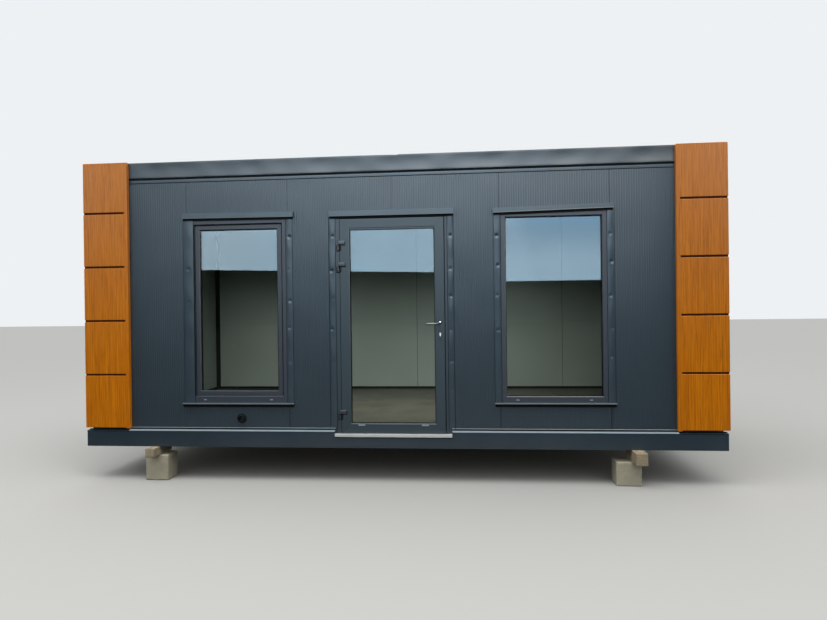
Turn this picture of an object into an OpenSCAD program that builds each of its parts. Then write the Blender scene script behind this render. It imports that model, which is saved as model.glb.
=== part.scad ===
// Portable site cabin on concrete blocks: folded steel base and roof beams, sandwich-panel
// walls, wood-look cassettes round the corners, a glazed door and two windows.
// The origin lies on the ground at the centre of the plan, with the front towards -Y.

/* [Base frame] */
// Length of the base frame along the front
cabin_l = 6000; // [5600:10:7000]
// Depth of the base frame from front to rear
cabin_w = 3000; // [2600:10:3600]
// Height of the folded rails round the base
rail_h = 153; // [145:1:200]
// Sheet thickness of the rails and roof beams
rail_t = 5; // [3:0.5:7]
// Lip along the open edge of the rails and roof beams
rail_lip = 25; // [15:1:35]
// Number of cross members under the floor
cross_count = 7; // [3:1:9]
// Flange width of a cross member
cross_w = 50; // [40:1:80]
// Height of a cross member
cross_h = 120; // [80:1:135]
// Sheet thickness of a cross member
cross_t = 3; // [2:0.5:5]
// Thickness of the floor deck
deck_t = 22; // [15:1:30]

/* [Supports] */
// Height of the cabin's underside above the ground
base_z = 330; // [280:1:450]
// Width of a concrete block along the front
block_w = 225; // [200:5:300]
// Length of a concrete block from front to rear
block_l = 200; // [180:5:300]
// Distance of the blocks' outer ends from the edge of the base
block_inset = 10; // [0:1:60]
// Place of the left blocks from the centre
left_block_x = 2305; // [1800:1:2400]
// Place of the right blocks from the centre
right_block_x = 2138; // [1800:1:2400]
// Width and height of the left timber packers
left_packer = [90, 82];
// Width and height of the right timber packers
right_packer = [105, 112];
// Length of a timber packer
packer_l = 360; // [300:5:420]
// How far the left packers stand out past the base
left_packer_out = 108; // [60:1:150]
// How far the right packers stand out past the base
right_packer_out = 132; // [60:1:150]
// Offset of the left packers from their blocks, outwards
left_packer_shift = 10; // [0:1:55]
// Offset of the right packers from their blocks, outwards
right_packer_shift = 75; // [0:1:80]

/* [Walls] */
// Thickness of the sandwich panels
wall_t = 80; // [70:1:100]
// Height of the wall panels
wall_h = 2427; // [2380:1:2600]
// Width of one panel from joint to joint
panel_w = 1000; // [800:10:1200]
// Width of the groove at a panel joint
joint_w = 5; // [2:0.5:8]
// Depth of the groove at a panel joint
joint_d = 6; // [2:0.5:10]
// Set-back of the front and rear walls from the edge of the base
front_setback = 58; // [45:1:70]
// Set-back of the end walls from the ends of the base
end_setback = 23; // [15:1:40]
// Height of the rebate along the walls' foot
foot_h = 28; // [20:1:40]
// Depth of the rebate along the walls' foot
foot_d = 14; // [8:1:20]
// Height of the shadow gap under the fascia
gap_h = 11; // [6:1:16]
// Depth of the shadow gap under the fascia
gap_d = 12; // [6:1:20]
// Sheet thickness of the corner posts
post_t = 4; // [3:0.5:6]

/* [Fascia and roof] */
// Height of the fascia
fascia_h = 165; // [150:1:200]
// How far the fascia stands out from the wall
fascia_out = 10; // [6:1:16]
// Sheet thickness of the fascia
fascia_t = 3; // [2:0.5:4]
// Height of the trim strip under the shadow gap
trim_h = 24; // [15:1:35]
// Thickness of the trim strip
trim_t = 4; // [2:0.5:6]
// Thickness of the roof panel without its ribs
roof_t = 120; // [80:5:130]
// Height of the roof panel's ribs
rib_h = 22; // [10:1:28]
// Distance from rib to rib
rib_pitch = 250; // [200:10:333]
// Width of a rib at its foot
rib_w = 60; // [40:1:80]

/* [Corner cladding] */
// Width of the cladding on each side of a corner
clad_w = 449; // [350:1:520]
// How far the cladding's face stands out from the wall
clad_out = 45; // [30:1:50]
// Thickness of a cladding cassette
clad_t = 10; // [6:1:15]
// Distance from groove to groove
clad_module = 522.5; // [450:0.5:600]
// Height of the groove between two cassettes
clad_groove = 13; // [8:1:20]
// Gap between the lowest cassette and the base rail
clad_foot = 24; // [22:1:40]
// Thickness of the cap on the cladding
cap_t = 3; // [2:0.5:5]
// Width of the trim along the cladding's inner edges
edge_w = 33; // [20:1:45]
// Thickness of the edge trim
edge_t = 2; // [1.5:0.5:3]
// How far the edge trim reaches below the cassettes
edge_drop = 8; // [0:1:8]

/* [Windows] */
// Place of both windows from the centre of the front
window_x = 1493; // [1450:1:1500]
// Width of a window frame
window_w = 964; // [900:1:980]
// Height of a window frame with its sill profile
window_h = 1772; // [1400:1:1790]
// Height of the windows' underside above the base's underside
window_z = 406; // [390:1:600]
// Height of the sill profile under a window frame
adapter_h = 24; // [15:1:40]
// Depth of the plastic frame profiles
profile_d = 70; // [60:1:70]
// Face width of the opening window's outer frame
frame_face = 50; // [40:1:60]
// Face width of the opening window's sash
sash_face = 49; // [40:1:60]
// Depth of the sash
sash_d = 60; // [55:1:65]
// How far the sash lies behind the frame's face
sash_back = 12; // [5:1:15]
// Face width of the fixed window's frame
fixed_face = 46; // [40:1:60]
// Bevel along the inner edge of a profile
bevel = 6; // [3:0.5:8]
// Clearance between a frame and the wall
frame_gap = 2; // [1:0.5:5]
// Thickness of a glass pane
pane_t = 4; // [3:0.5:5]
// Space between the two panes of a unit
pane_space = 16; // [10:1:18]
// How deep the glass sits in its profile
glass_grip = 12; // [8:1:14]
// Clearance between a pane and the sides of its pocket
pane_gap = 1; // [0.5:0.25:2]
// How far the spacer shows inside its profile
spacer_show = 3; // [1:0.5:5]
// Height of the window handle's spindle above the base's underside
handle_z = 1300; // [1000:1:1500]
// Length of the window handle
handle_l = 118; // [90:1:140]

/* [Door] */
// Place of the door from the centre of the front
door_x = -2; // [-20:1:20]
// Width of the door frame
door_w = 1100; // [1000:1:1150]
// Height of the door frame's top above the base's underside
door_top = 2211; // [2100:1:2250]
// Width of the door leaf
leaf_w = 978; // [880:1:1000]
// Height of the leaf's underside above the base's underside
leaf_z = 133; // [130:1:145]
// Face width of the leaf's profile
leaf_face = 90; // [80:1:110]
// Thickness of the leaf
leaf_d = 70; // [65:1:75]
// Thickness of the leaf's overlap
lip_t = 14; // [10:1:16]
// How far the overlap covers the frame
lip_over = 8; // [6:1:12]
// Gap between the overlap and the frame's face
lip_gap = 5; // [5:0.5:6]
// Clearance between the leaf and the frame's sides
leaf_gap = 9; // [8:0.5:10]
// Inner stop on the frame behind the leaf
stop_w = 12; // [8:1:20]
// Height of the underside of the threshold above the base's underside
threshold_z = 98; // [60:1:100]
// Gap between the threshold and the leaf
threshold_gap = 5; // [5:0.5:8]
// How far the threshold's nose stands out from the rail
nose_out = 4; // [2:1:10]

/* [Door hardware] */
// Radius of a hinge barrel
barrel_r = 9; // [7:0.5:10]
// Radius of a hinge pin
pin_r = 4; // [3:0.5:5]
// Running clearance round a hinge pin
pin_gap = 0.2; // [0.1:0.05:0.4]
// Height of a hinge
hinge_h = 90; // [70:1:110]
// Heights of the three hinges' centres above the base's underside
hinge_z = [305, 1698, 1902];
// Distance of the hinge axis from the leaf's edge
hinge_off = 18; // [16:0.5:20]
// Length of a hinge arm from the leaf's edge
arm_l = 78; // [40:1:80]
// Thickness of a hinge arm
arm_t = 6; // [4:0.5:8]
// Height of a hinge arm
arm_h = 30; // [20:1:34]
// Width of the boss at the end of a hinge arm
boss_w = 12; // [8:1:16]
// Distance of the lock from the leaf's closing edge
lock_in = 40; // [35:1:55]
// Height of the lever's pivot above the base's underside
lever_z = 1167; // [1000:1:1300]
// Length of the lever from its pivot to its tip
lever_l = 130; // [100:1:140]
// Radius of the lever's neck
neck_r = 9; // [7:0.5:10]
// Distance of the lever from the lock plate
neck_l = 30; // [25:1:45]
// Height of the lever's grip
grip_h = 20; // [14:1:24]
// Thickness of the lever's grip
grip_t = 11; // [8:0.5:14]
// Width of a lock plate
plate_w = 30; // [26:1:36]
// Height of a lock plate
plate_h = 206; // [180:1:240]
// Thickness of a lock plate
plate_t = 8; // [6:0.5:10]
// Distance of the lock cylinder below the lever
cylinder_drop = 104; // [80:1:120]
// Width of a drain-hole cover on the leaf
cover_w = 65; // [40:1:80]
// Distance of the covers from the door's centre
cover_x = 300; // [200:1:350]

/* [Flashings] */
// Thickness of the folded flashings
sheet_t = 2; // [1:0.5:2.5]
// Thickness of the strips beside the door and windows
strip_t = 3; // [2:0.5:3]
// Height of the front fold of a head flashing
head_lip = 43; // [30:1:60]
// How far a head flashing stands out from the wall
head_out = 28; // [20:1:40]
// Fall of a head flashing towards its front
head_fall = 11; // [5:1:20]
// Height of the front fold of a window sill
sill_lip = 18; // [10:1:30]
// How far a window sill stands out from the wall
sill_out = 34; // [20:1:45]
// Fall of a window sill towards its front
sill_fall = 8; // [4:1:15]
// Rise of the ledge flashing from the rail to the wall
ledge_rise = 11; // [6:1:20]
// Width of the service outlet's flange
outlet_flange = 94; // [80:1:110]
// Outer width of the service outlet's pipe
outlet_pipe = 60; // [40:1:70]
// Wall of the service outlet's pipe
outlet_wall = 3; // [2:0.5:5]
// How far the service outlet stands out from the wall
outlet_out = 42; // [30:1:60]
// Place of the service outlet left of the centre
outlet_x = 1470; // [1400:1:1550]
// Height of the service outlet above the base's underside
outlet_z = 265; // [240:1:300]

/* [Hidden] */
$fn = 48;
fit = 0.3;
flange_t = 6;
pin_cap = 3;
corner_signs = [[-1, -1], [1, -1], [-1, 1], [1, 1]];

wall_y = cabin_w / 2 - front_setback;
wall_x = cabin_l / 2 - end_setback;
room_x = wall_x - wall_t;
room_y = wall_y - wall_t;
wall_top = rail_h + wall_h;
fascia_top = wall_top + fascia_h;
beam_h = fascia_h - fascia_t;
clad_face_y = wall_y + clad_out;
clad_face_x = wall_x + clad_out;
clad_z = rail_h + clad_foot;
clad_top = fascia_top + cap_t;
carrier_d = clad_out - clad_t;
clad_in_x = clad_face_x - clad_w;
clad_in_y = clad_face_y - clad_w;

front_d = front_setback;
inside_d = front_setback + wall_t;
leaf_front = front_d - lip_gap - lip_t;
leaf_x0 = door_x - leaf_w / 2;
leaf_x1 = door_x + leaf_w / 2;
door_side = (door_w - leaf_w) / 2;
jamb_face = door_side + lip_over;
leaf_top = door_top - door_side;
leaf_h = leaf_top - leaf_z;
threshold_top = leaf_z - threshold_gap;
body_in = lip_over + leaf_gap;
pocket_d = pane_space + 2 * pane_t + 2 * pane_gap;
hinge_x = leaf_x0 - hinge_off;
hinge_d = leaf_front + arm_t - 1;
knuckle = (hinge_h - fit) / 2;
lock_x = leaf_x1 - lock_in;
window_top = window_z + window_h;
sash_w = window_w - 2 * frame_face;
sash_z = window_z + adapter_h + frame_face;
sash_h = window_top - frame_face - sash_z;
door_strip_l = [door_x - door_w / 2 - 48, leaf_x0 - 22];
door_strip_r = [leaf_x1 + 33, door_x + door_w / 2 + 27];
left_strip_l = [-window_x - window_w / 2 - 58, -window_x - window_w / 2 + 41];
left_strip_r = [-window_x + window_w / 2 - 7, -window_x + window_w / 2 + 55];
right_strip_l = [window_x - window_w / 2 - 61, window_x - window_w / 2];
right_strip_r = [window_x + window_w / 2, window_x + window_w / 2 + 64];
door_head_z = leaf_top + 22;
window_head_z = window_top + 4;

// Puts X, depth behind the base's front edge and height above its underside in the cabin's frame
module facade() {
  translate([0, -cabin_w / 2, base_z]) children();
}

// A profile drawn as [depth, height], run along X from x0 to x1
module run_x(x0, x1) {
  translate([x0, 0, 0]) rotate([90, 0, 90]) linear_extrude(x1 - x0) children();
}

// Lipped channel, drawn with its web at 0 and its open side towards +X
module channel_section(w, h, t, lip) {
  difference() {
    square([w, h]);
    translate([t, t]) square([w - 2 * t, h - 2 * t]);
    translate([t, lip]) square([w, h - 2 * lip]);
  }
}

// Channel along X from the front edge inwards, with closed ends
module closed_channel(len, w, h) {
  run_x(-len / 2, len / 2) channel_section(w, h, rail_t, rail_lip);
  for (s = [0, 1]) mirror([s, 0, 0])
    translate([-len / 2, 0, 0]) cube([rail_t, w, h]);
}

// Shelf and cheeks that close the notch in the front rail under the threshold
module threshold_seat() {
  translate([door_x - door_w / 2 - rail_t, 0, threshold_z - rail_t])
    cube([door_w + 2 * rail_t, inside_d, rail_t]);
  for (s = [-1, 1])
    translate([door_x + s * (door_w + rail_t) / 2 - rail_t / 2, 0, threshold_z - rail_t])
      cube([rail_t, inside_d, rail_h - threshold_z + rail_t]);
}

module base_front_rail() {
  color("#2c3338") facade() {
    difference() {
      closed_channel(cabin_l, inside_d, rail_h);
      translate([door_x - door_w / 2, -1, threshold_z]) cube([door_w, inside_d + 2, rail_h]);
    }
    threshold_seat();
  }
}

module base_rear_rail() {
  color("#2c3338") mirror([0, 1, 0]) facade() closed_channel(cabin_l, inside_d, rail_h);
}

module end_rail() {
  translate([-cabin_l / 2, room_y, base_z]) rotate([90, 0, 0])
    linear_extrude(2 * room_y) channel_section(end_setback + wall_t, rail_h, rail_t, rail_lip);
}

module base_left_rail() {
  color("#2c3338") end_rail();
}

module base_right_rail() {
  color("#2c3338") mirror([1, 0, 0]) end_rail();
}

module cross_members() {
  pitch = 2 * room_x / (cross_count + 1);
  color("#3a4247")
    for (i = [1 : cross_count])
      translate([-room_x + i * pitch - cross_w / 2, room_y, base_z + rail_h - cross_h])
        rotate([90, 0, 0]) linear_extrude(2 * room_y)
          channel_section(cross_w, cross_h, cross_t, 2 * cross_t + 6);
}

module floor_deck() {
  color("#7d6a55") translate([-room_x, -room_y, base_z + rail_h])
    cube([2 * room_x, 2 * room_y, deck_t]);
}

module corner_posts() {
  color("#3a4247")
    for (s = corner_signs)
      scale([s[0], s[1], 1])
        translate([room_x, room_y, base_z + rail_h]) difference() {
          cube([wall_t, wall_t, wall_h]);
          translate([post_t, post_t, -1])
            cube([wall_t - 2 * post_t, wall_t - 2 * post_t, wall_h + 2]);
        }
}

// Wall from x0 to x1 with its outer face at depth 0, rebated at its foot and head,
// with a groove at each panel joint on both faces
module panel_wall(x0, x1, z0, z1) {
  n = floor(max(-x0, x1) / panel_w);
  difference() {
    translate([x0, 0, z0]) cube([x1 - x0, wall_t, z1 - z0]);
    if (z0 < rail_h + 1)
      translate([x0 - 1, -1, z0 - 1]) cube([x1 - x0 + 2, foot_d + 1, foot_h + 1]);
    translate([x0 - 1, -1, wall_top - gap_h]) cube([x1 - x0 + 2, gap_d + 1, gap_h + 1]);
    for (i = [-n : n])
      if (i * panel_w > x0 + joint_w && i * panel_w < x1 - joint_w)
        for (y = [-1, wall_t - joint_d])
          translate([i * panel_w - joint_w / 2, y, z0 - 1])
            cube([joint_w, joint_d + 1, z1 - z0 + 2]);
  }
}

module window_hole(x) {
  translate([x - window_w / 2 - frame_gap, -1, window_z - frame_gap])
    cube([window_w + 2 * frame_gap, wall_t + 2, window_h + 2 * frame_gap]);
}

module front_wall_side(x0, x1, x) {
  color("#3b4449") facade() translate([0, front_d, 0]) difference() {
    panel_wall(x0, x1, rail_h, wall_top);
    window_hole(x);
  }
}

module front_wall_left() {
  front_wall_side(-room_x, door_x - door_w / 2 - frame_gap, -window_x);
}

module front_wall_right() {
  front_wall_side(door_x + door_w / 2 + frame_gap, room_x, window_x);
}

module front_wall_over_door() {
  color("#3b4449") facade() translate([0, front_d, 0])
    panel_wall(door_x - door_w / 2 - frame_gap, door_x + door_w / 2 + frame_gap,
               door_top + frame_gap, wall_top);
}

module rear_wall() {
  color("#3b4449") mirror([0, 1, 0]) facade() translate([0, front_d, 0])
    panel_wall(-room_x, room_x, rail_h, wall_top);
}

module end_wall() {
  translate([-wall_x, 0, base_z]) rotate([0, 0, -90])
    panel_wall_ends();
}

module panel_wall_ends() {
  difference() {
    translate([-room_y, 0, rail_h]) cube([2 * room_y, wall_t, wall_h]);
    translate([-room_y - 1, -1, rail_h - 1]) cube([2 * room_y + 2, foot_d + 1, foot_h + 1]);
    translate([-room_y - 1, -1, wall_top - gap_h]) cube([2 * room_y + 2, gap_d + 1, gap_h + 1]);
    for (s = [-1, 1], y = [-1, wall_t - joint_d])
      translate([s * panel_w / 2 - joint_w / 2, y, rail_h - 1])
        cube([joint_w, joint_d + 1, wall_h + 2]);
  }
}

module left_wall() {
  color("#3b4449") end_wall();
}

module right_wall() {
  color("#3b4449") mirror([1, 0, 0]) end_wall();
}

module roof_side_beam() {
  facade() translate([0, front_d, wall_top]) closed_channel(2 * wall_x, wall_t, beam_h);
}

module roof_end_beam() {
  translate([-wall_x, room_y, base_z + wall_top]) rotate([90, 0, 0])
    linear_extrude(2 * room_y) channel_section(wall_t, beam_h, rail_t, rail_lip);
}

module roof_front_beam() {
  color("#3a4247") roof_side_beam();
}

module roof_rear_beam() {
  color("#3a4247") mirror([0, 1, 0]) roof_side_beam();
}

module roof_left_beam() {
  color("#3a4247") roof_end_beam();
}

module roof_right_beam() {
  color("#3a4247") mirror([1, 0, 0]) roof_end_beam();
}

// Cross-section of the ribbed roof panel, as [X, height], going round it once
module roof_section() {
  n = floor((room_x - rib_w) / rib_pitch);
  top = roof_t + rib_h;
  polygon([
    [room_x, roof_t], [room_x, 0], [-room_x, 0], [-room_x, roof_t],
    for (i = [-n : n], p = [[-rib_w / 2, roof_t], [-rib_w / 4, top],
                            [rib_w / 4, top], [rib_w / 2, roof_t]])
      [i * rib_pitch + p[0], p[1]]
  ]);
}

module roof_panel() {
  color("#c9cccb") translate([0, room_y, base_z + wall_top])
    rotate([90, 0, 0]) linear_extrude(2 * room_y) roof_section();
}

// Folded fascia with its top over the roof beam and its bottom fold back to the wall
module fascia_section() {
  translate([-fascia_out, 0]) {
    square([fascia_t, fascia_h]);
    translate([0, fascia_h - fascia_t]) square([fascia_out + wall_t, fascia_t]);
    square([fascia_out, fascia_t]);
  }
}

module long_fascia() {
  facade() translate([0, front_d, wall_top])
    run_x(-clad_in_x, clad_in_x) fascia_section();
}

module end_fascia() {
  translate([-wall_x, clad_in_y, base_z + wall_top]) rotate([90, 0, 0])
    linear_extrude(2 * clad_in_y) fascia_section();
}

module front_fascia() {
  color("#596167") long_fascia();
}

module rear_fascia() {
  color("#596167") mirror([0, 1, 0]) long_fascia();
}

module left_fascia() {
  color("#596167") end_fascia();
}

module right_fascia() {
  color("#596167") mirror([1, 0, 0]) end_fascia();
}

module wall_top_trims() {
  z = base_z + wall_top - gap_h - trim_h;
  color("#596167")
    for (s = [0, 1]) {
      mirror([0, s, 0]) translate([-clad_in_x, -wall_y - trim_t, z])
        cube([2 * clad_in_x, trim_t, trim_h]);
      mirror([s, 0, 0]) translate([-wall_x - trim_t, -clad_in_y, z])
        cube([trim_t, 2 * clad_in_y, trim_h]);
    }
}

// Sheet that falls from the wall's foot to the rail's edge, as [depth, height]
module ledge_section(back) {
  b = back - fit;
  polygon([
    [-sheet_t, -3], [-sheet_t, sheet_t], [b, sheet_t + ledge_rise], [b, 0],
    [b - sheet_t, 0], [b - sheet_t, ledge_rise - 0.5], [0, 0], [0, -3]
  ]);
}

module ledge_flashings() {
  door_l = door_x - door_w / 2 - frame_gap;
  door_r = door_x + door_w / 2 + frame_gap;
  end_x = cabin_l / 2 + sheet_t;
  color("#7f8a92") {
    facade() translate([0, 0, rail_h]) {
      run_x(-end_x, door_l) ledge_section(front_setback);
      run_x(door_r, end_x) ledge_section(front_setback);
    }
    mirror([0, 1, 0]) facade() translate([0, 0, rail_h])
      run_x(-end_x, end_x) ledge_section(front_setback);
    for (s = [0, 1]) mirror([s, 0, 0])
      translate([-cabin_l / 2, wall_y, base_z + rail_h]) rotate([90, 0, 0])
        linear_extrude(2 * wall_y) ledge_section(end_setback);
  }
}

// Hollow carriers that hold the cladding off the posts and walls
module cladding_carriers() {
  z = base_z + clad_z;
  h = fascia_top - fascia_t - clad_z;
  color("#33291f")
    for (s = corner_signs)
      scale([s[0], s[1], 1]) {
        translate([clad_in_x + edge_t, wall_y, z])
          cube([clad_w - clad_t - edge_t, carrier_d, h]);
        translate([wall_x, clad_in_y + edge_t, z])
          cube([carrier_d, clad_w - clad_out - edge_t, h]);
      }
}

// Outline of a cassette that wraps round the corner at +X +Y
module cassette_outline() {
  difference() {
    translate([clad_in_x + edge_t, clad_in_y + edge_t])
      square([clad_w - edge_t, clad_w - edge_t]);
    translate([clad_in_x - 1, clad_in_y - 1])
      square([clad_w - clad_t + 1, clad_w - clad_t + 1]);
  }
}

// Cap over the cladding, carriers and roof beams of one corner
module cap_outline() {
  difference() {
    translate([clad_in_x + edge_t, clad_in_y + edge_t])
      square([clad_w - edge_t, clad_w - edge_t]);
    translate([clad_in_x - 1, clad_in_y - 1])
      square([room_x - clad_in_x + 1, room_y - clad_in_y + 1]);
  }
}

module corner_cladding(sx, sy) {
  count = ceil((clad_top - clad_z) / clad_module);
  color("#b26a20") scale([sx, sy, 1]) translate([0, 0, base_z]) {
    for (i = [0 : count - 1]) {
      z0 = clad_z + i * clad_module + (i == 0 ? 0 : clad_groove / 2);
      z1 = min(clad_z + (i + 1) * clad_module - clad_groove / 2, clad_top);
      translate([0, 0, z0]) linear_extrude(z1 - z0) cassette_outline();
    }
    translate([0, 0, fascia_top]) linear_extrude(cap_t) cap_outline();
  }
}

module front_left_cladding() {
  corner_cladding(-1, -1);
}

module front_right_cladding() {
  corner_cladding(1, -1);
}

module rear_left_cladding() {
  corner_cladding(-1, 1);
}

module rear_right_cladding() {
  corner_cladding(1, 1);
}

module cladding_edge_trims() {
  z = base_z + clad_z - edge_drop;
  h = fascia_top - clad_z + edge_drop;
  color("#bd7a34")
    for (s = corner_signs)
      scale([s[0], s[1], 1]) translate([0, 0, z]) {
        translate([clad_in_x, clad_face_y, 0]) cube([edge_w, edge_t, h]);
        translate([clad_in_x, wall_y + fascia_out, 0])
          cube([edge_t, clad_out - fascia_out + edge_t, h]);
        translate([clad_face_x, clad_in_y, 0]) cube([edge_t, edge_w, h]);
        translate([wall_x + fascia_out, clad_in_y, 0])
          cube([clad_out - fascia_out + edge_t, edge_t, h]);
      }
}

// Opening through a frame w wide and h high, centred on X and standing on height 0;
// each point is [depth, distance in from the frame's edge]
module light(w, h, points) {
  back = [for (i = [len(points) - 1 : -1 : 0]) points[i]];
  intersection() {
    linear_extrude(h)
      polygon([for (p = points) [p[1] - w / 2, p[0]], for (p = back) [w / 2 - p[1], p[0]]]);
    run_x(-w / 2, w / 2)
      polygon([for (p = points) p, for (p = back) [p[0], h - p[1]]]);
  }
}

// Points of a bevelled opening in a profile of depth d and face a
function plain_points(d, a) = [[-1, a - bevel], [0, a - bevel], [bevel, a], [d + 1, a]];

// The same with a bevel at the back too and a glazing pocket from depth p
function glazed_points(d, a, p) = [
  [-1, a - bevel], [0, a - bevel], [bevel, a], [p, a], [p, a - glass_grip],
  [p + pocket_d, a - glass_grip], [p + pocket_d, a],
  [d - bevel, a], [d, a - bevel], [d + 1, a - bevel]
];

// Sealed unit for a daylight opening w wide and h high, at the pocket's front
module panes(w, h) {
  grip = glass_grip - 0.5;
  for (y = [pane_gap, pane_gap + pane_t + pane_space])
    translate([-w / 2 - grip, y, -grip]) cube([w + 2 * grip, pane_t, h + 2 * grip]);
}

module spacer(w, h) {
  grip = glass_grip - spacer_show;
  show = spacer_show;
  translate([0, pane_gap + pane_t, 0]) difference() {
    translate([-w / 2 - grip, 0, -grip]) cube([w + 2 * grip, pane_space, h + 2 * grip]);
    translate([-w / 2 + show, -1, show]) cube([w - 2 * show, pane_space + 2, h - 2 * show]);
  }
}

module at_window(x, d, z) {
  facade() translate([x, front_d + d, z]) children();
}

// Outer frame with the sill profile at its foot
module window_frame(x, points) {
  at_window(x, 0, window_z) difference() {
    translate([-window_w / 2, 0, 0]) cube([window_w, profile_d, window_h]);
    translate([0, 0, adapter_h]) light(window_w, window_h - adapter_h, points);
  }
}

sash_pocket = (sash_d - pocket_d) / 2;
fixed_pocket = (profile_d - pocket_d) / 2;
fixed_light = [window_w - 2 * fixed_face, window_h - adapter_h - 2 * fixed_face];
sash_light = [sash_w - 2 * sash_face, sash_h - 2 * sash_face];

module left_window_frame() {
  color("#4a4b54") window_frame(-window_x, plain_points(profile_d, frame_face));
}

module left_window_sash() {
  w = sash_w - 2 * fit;
  h = sash_h - 2 * fit;
  color("#4a4b54") at_window(-window_x, sash_back, sash_z + fit) difference() {
    translate([-w / 2, 0, 0]) cube([w, sash_d, h]);
    light(w, h, glazed_points(sash_d, sash_face - fit, sash_pocket));
  }
}

module left_window_glass() {
  color("#9fb6c4", 0.4) at_window(-window_x, sash_back + sash_pocket, sash_z + sash_face)
    panes(sash_light[0], sash_light[1]);
}

module left_window_handle() {
  x = -window_x + sash_w / 2 - sash_face / 2;
  color("#c8c8c8") at_window(x, sash_back + sash_d, handle_z) {
    translate([-14, 0, -35]) cube([28, 8, 70]);
    rotate([-90, 0, 0]) cylinder(r = 7, h = 40);
    translate([-8, 32, 8 - handle_l]) cube([16, 11, handle_l]);
  }
}

module right_window_frame() {
  color("#4a4b54")
    window_frame(window_x, glazed_points(profile_d, fixed_face, fixed_pocket));
}

module right_window_glass() {
  color("#9fb6c4", 0.4) at_window(window_x, fixed_pocket, window_z + adapter_h + fixed_face)
    panes(fixed_light[0], fixed_light[1]);
}

module window_spacers() {
  color("#202326") {
    at_window(-window_x, sash_back + sash_pocket, sash_z + sash_face)
      spacer(sash_light[0], sash_light[1]);
    at_window(window_x, fixed_pocket, window_z + adapter_h + fixed_face)
      spacer(fixed_light[0], fixed_light[1]);
  }
}

// Folded sheet that falls forward from the wall and turns down, with its fold's foot at 0
module drip_section(out, lip, fall) {
  polygon([
    [0, lip + fall], [-out, lip], [-out, 0], [-out + sheet_t, 0],
    [-out + sheet_t, lip - sheet_t / 2], [0, lip + fall - sheet_t]
  ]);
}

module sill(x0, x1) {
  at_window(0, 0, window_z + 4 - sill_lip - sill_fall)
    run_x(x0, x1) drip_section(sill_out, sill_lip, sill_fall);
}

module window_sills() {
  color("#59626a") {
    sill(left_strip_l[0] - 18, left_strip_r[1] + 4);
    sill(right_strip_l[0] - 4, right_strip_r[1] + 7);
  }
}

module head(x0, x1, z) {
  at_window(0, 0, z) run_x(x0, x1) drip_section(head_out, head_lip, head_fall);
}

module head_flashings() {
  color("#59626a") {
    head(left_strip_l[0] - 3, left_strip_r[1] + 14, window_head_z + 4);
    head(right_strip_l[0] - 5, right_strip_r[1] - 5, window_head_z - 4);
    head(door_strip_l[0] + 3, door_strip_r[1] + 9, door_head_z);
  }
}

module strip(x, z0, z1) {
  at_window(0, -strip_t, 0) translate([x[0], 0, z0]) cube([x[1] - x[0], strip_t, z1 - z0]);
}

module jamb_strips() {
  window_foot = window_z + 6;
  window_tip = window_head_z + head_lip - 6;
  door_foot = rail_h + ledge_rise + 4;
  door_tip = door_head_z + head_lip - 2;
  color("#4c545b") {
    for (x = [left_strip_l, left_strip_r, right_strip_l, right_strip_r])
      strip(x, window_foot, window_tip);
    for (x = [door_strip_l, door_strip_r])
      strip(x, door_foot, door_tip);
  }
}

module service_outlet() {
  r = outlet_pipe / 2;
  color("#17181a") at_window(-outlet_x, 0, outlet_z) rotate([90, 0, 0]) {
    cylinder(d = outlet_flange, h = flange_t);
    difference() {
      cylinder(r = r, h = outlet_out);
      translate([0, 0, flange_t]) cylinder(r = r - outlet_wall, h = outlet_out);
    }
  }
}

module drain_caps() {
  color("#3a3b43")
    for (p = [[-window_x, -339], [-window_x, 316], [window_x, -337], [window_x, 328]])
      at_window(p[0] + p[1], 0, window_z + adapter_h + 8)
        translate([-14, -4, 0]) cube([28, 4, 9]);
}

// Three-sided frame: its opening runs down past its feet, with a stop behind the leaf
module door_frame() {
  h = door_top - threshold_top;
  drop = 2 * door_side;
  stop_d = leaf_d - lip_gap - lip_t + 5;
  color("#4a4b54") at_window(door_x, 0, threshold_top) difference() {
    translate([-door_w / 2, 0, 0]) cube([door_w, profile_d, h]);
    translate([0, 0, -2 * drop])
      light(door_w, h + 2 * drop, [
        [-1, jamb_face], [stop_d, jamb_face], [stop_d, jamb_face + stop_w],
        [profile_d + 1, jamb_face + stop_w]
      ]);
  }
}

module door_threshold() {
  stop_d = leaf_front + leaf_d + 5;
  floor_z = rail_h + deck_t;
  clear_w = door_w - 2 * (jamb_face + stop_w);
  color("#b9bfbe") facade() {
    run_x(door_x - door_w / 2, door_x + door_w / 2)
      polygon([
        [-nose_out, threshold_z], [-nose_out, threshold_top - 4], [0, threshold_top - 2],
        [front_d, threshold_top], [inside_d, threshold_top], [inside_d, threshold_z]
      ]);
    run_x(door_x - clear_w / 2, door_x + clear_w / 2)
      polygon([
        [stop_d, threshold_z], [stop_d, floor_z - 4], [stop_d + 4, floor_z],
        [inside_d, floor_z], [inside_d, threshold_z]
      ]);
  }
}

module at_hinge(z) {
  facade() translate([hinge_x, hinge_d, z]) children();
}

// Frame side of each hinge: the lower knuckle with its pin, and a foot back to the frame
module door_hinge_pins() {
  foot_w = 12;
  foot_x = barrel_r - foot_w;
  color("#2a2b30")
    for (z = hinge_z) at_hinge(z) translate([0, 0, -hinge_h / 2]) {
      cylinder(r = barrel_r, h = knuckle);
      translate([foot_x, 0, 0]) cube([foot_w, front_d - hinge_d, knuckle]);
      cylinder(r = pin_r, h = hinge_h - pin_cap);
    }
}

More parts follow.
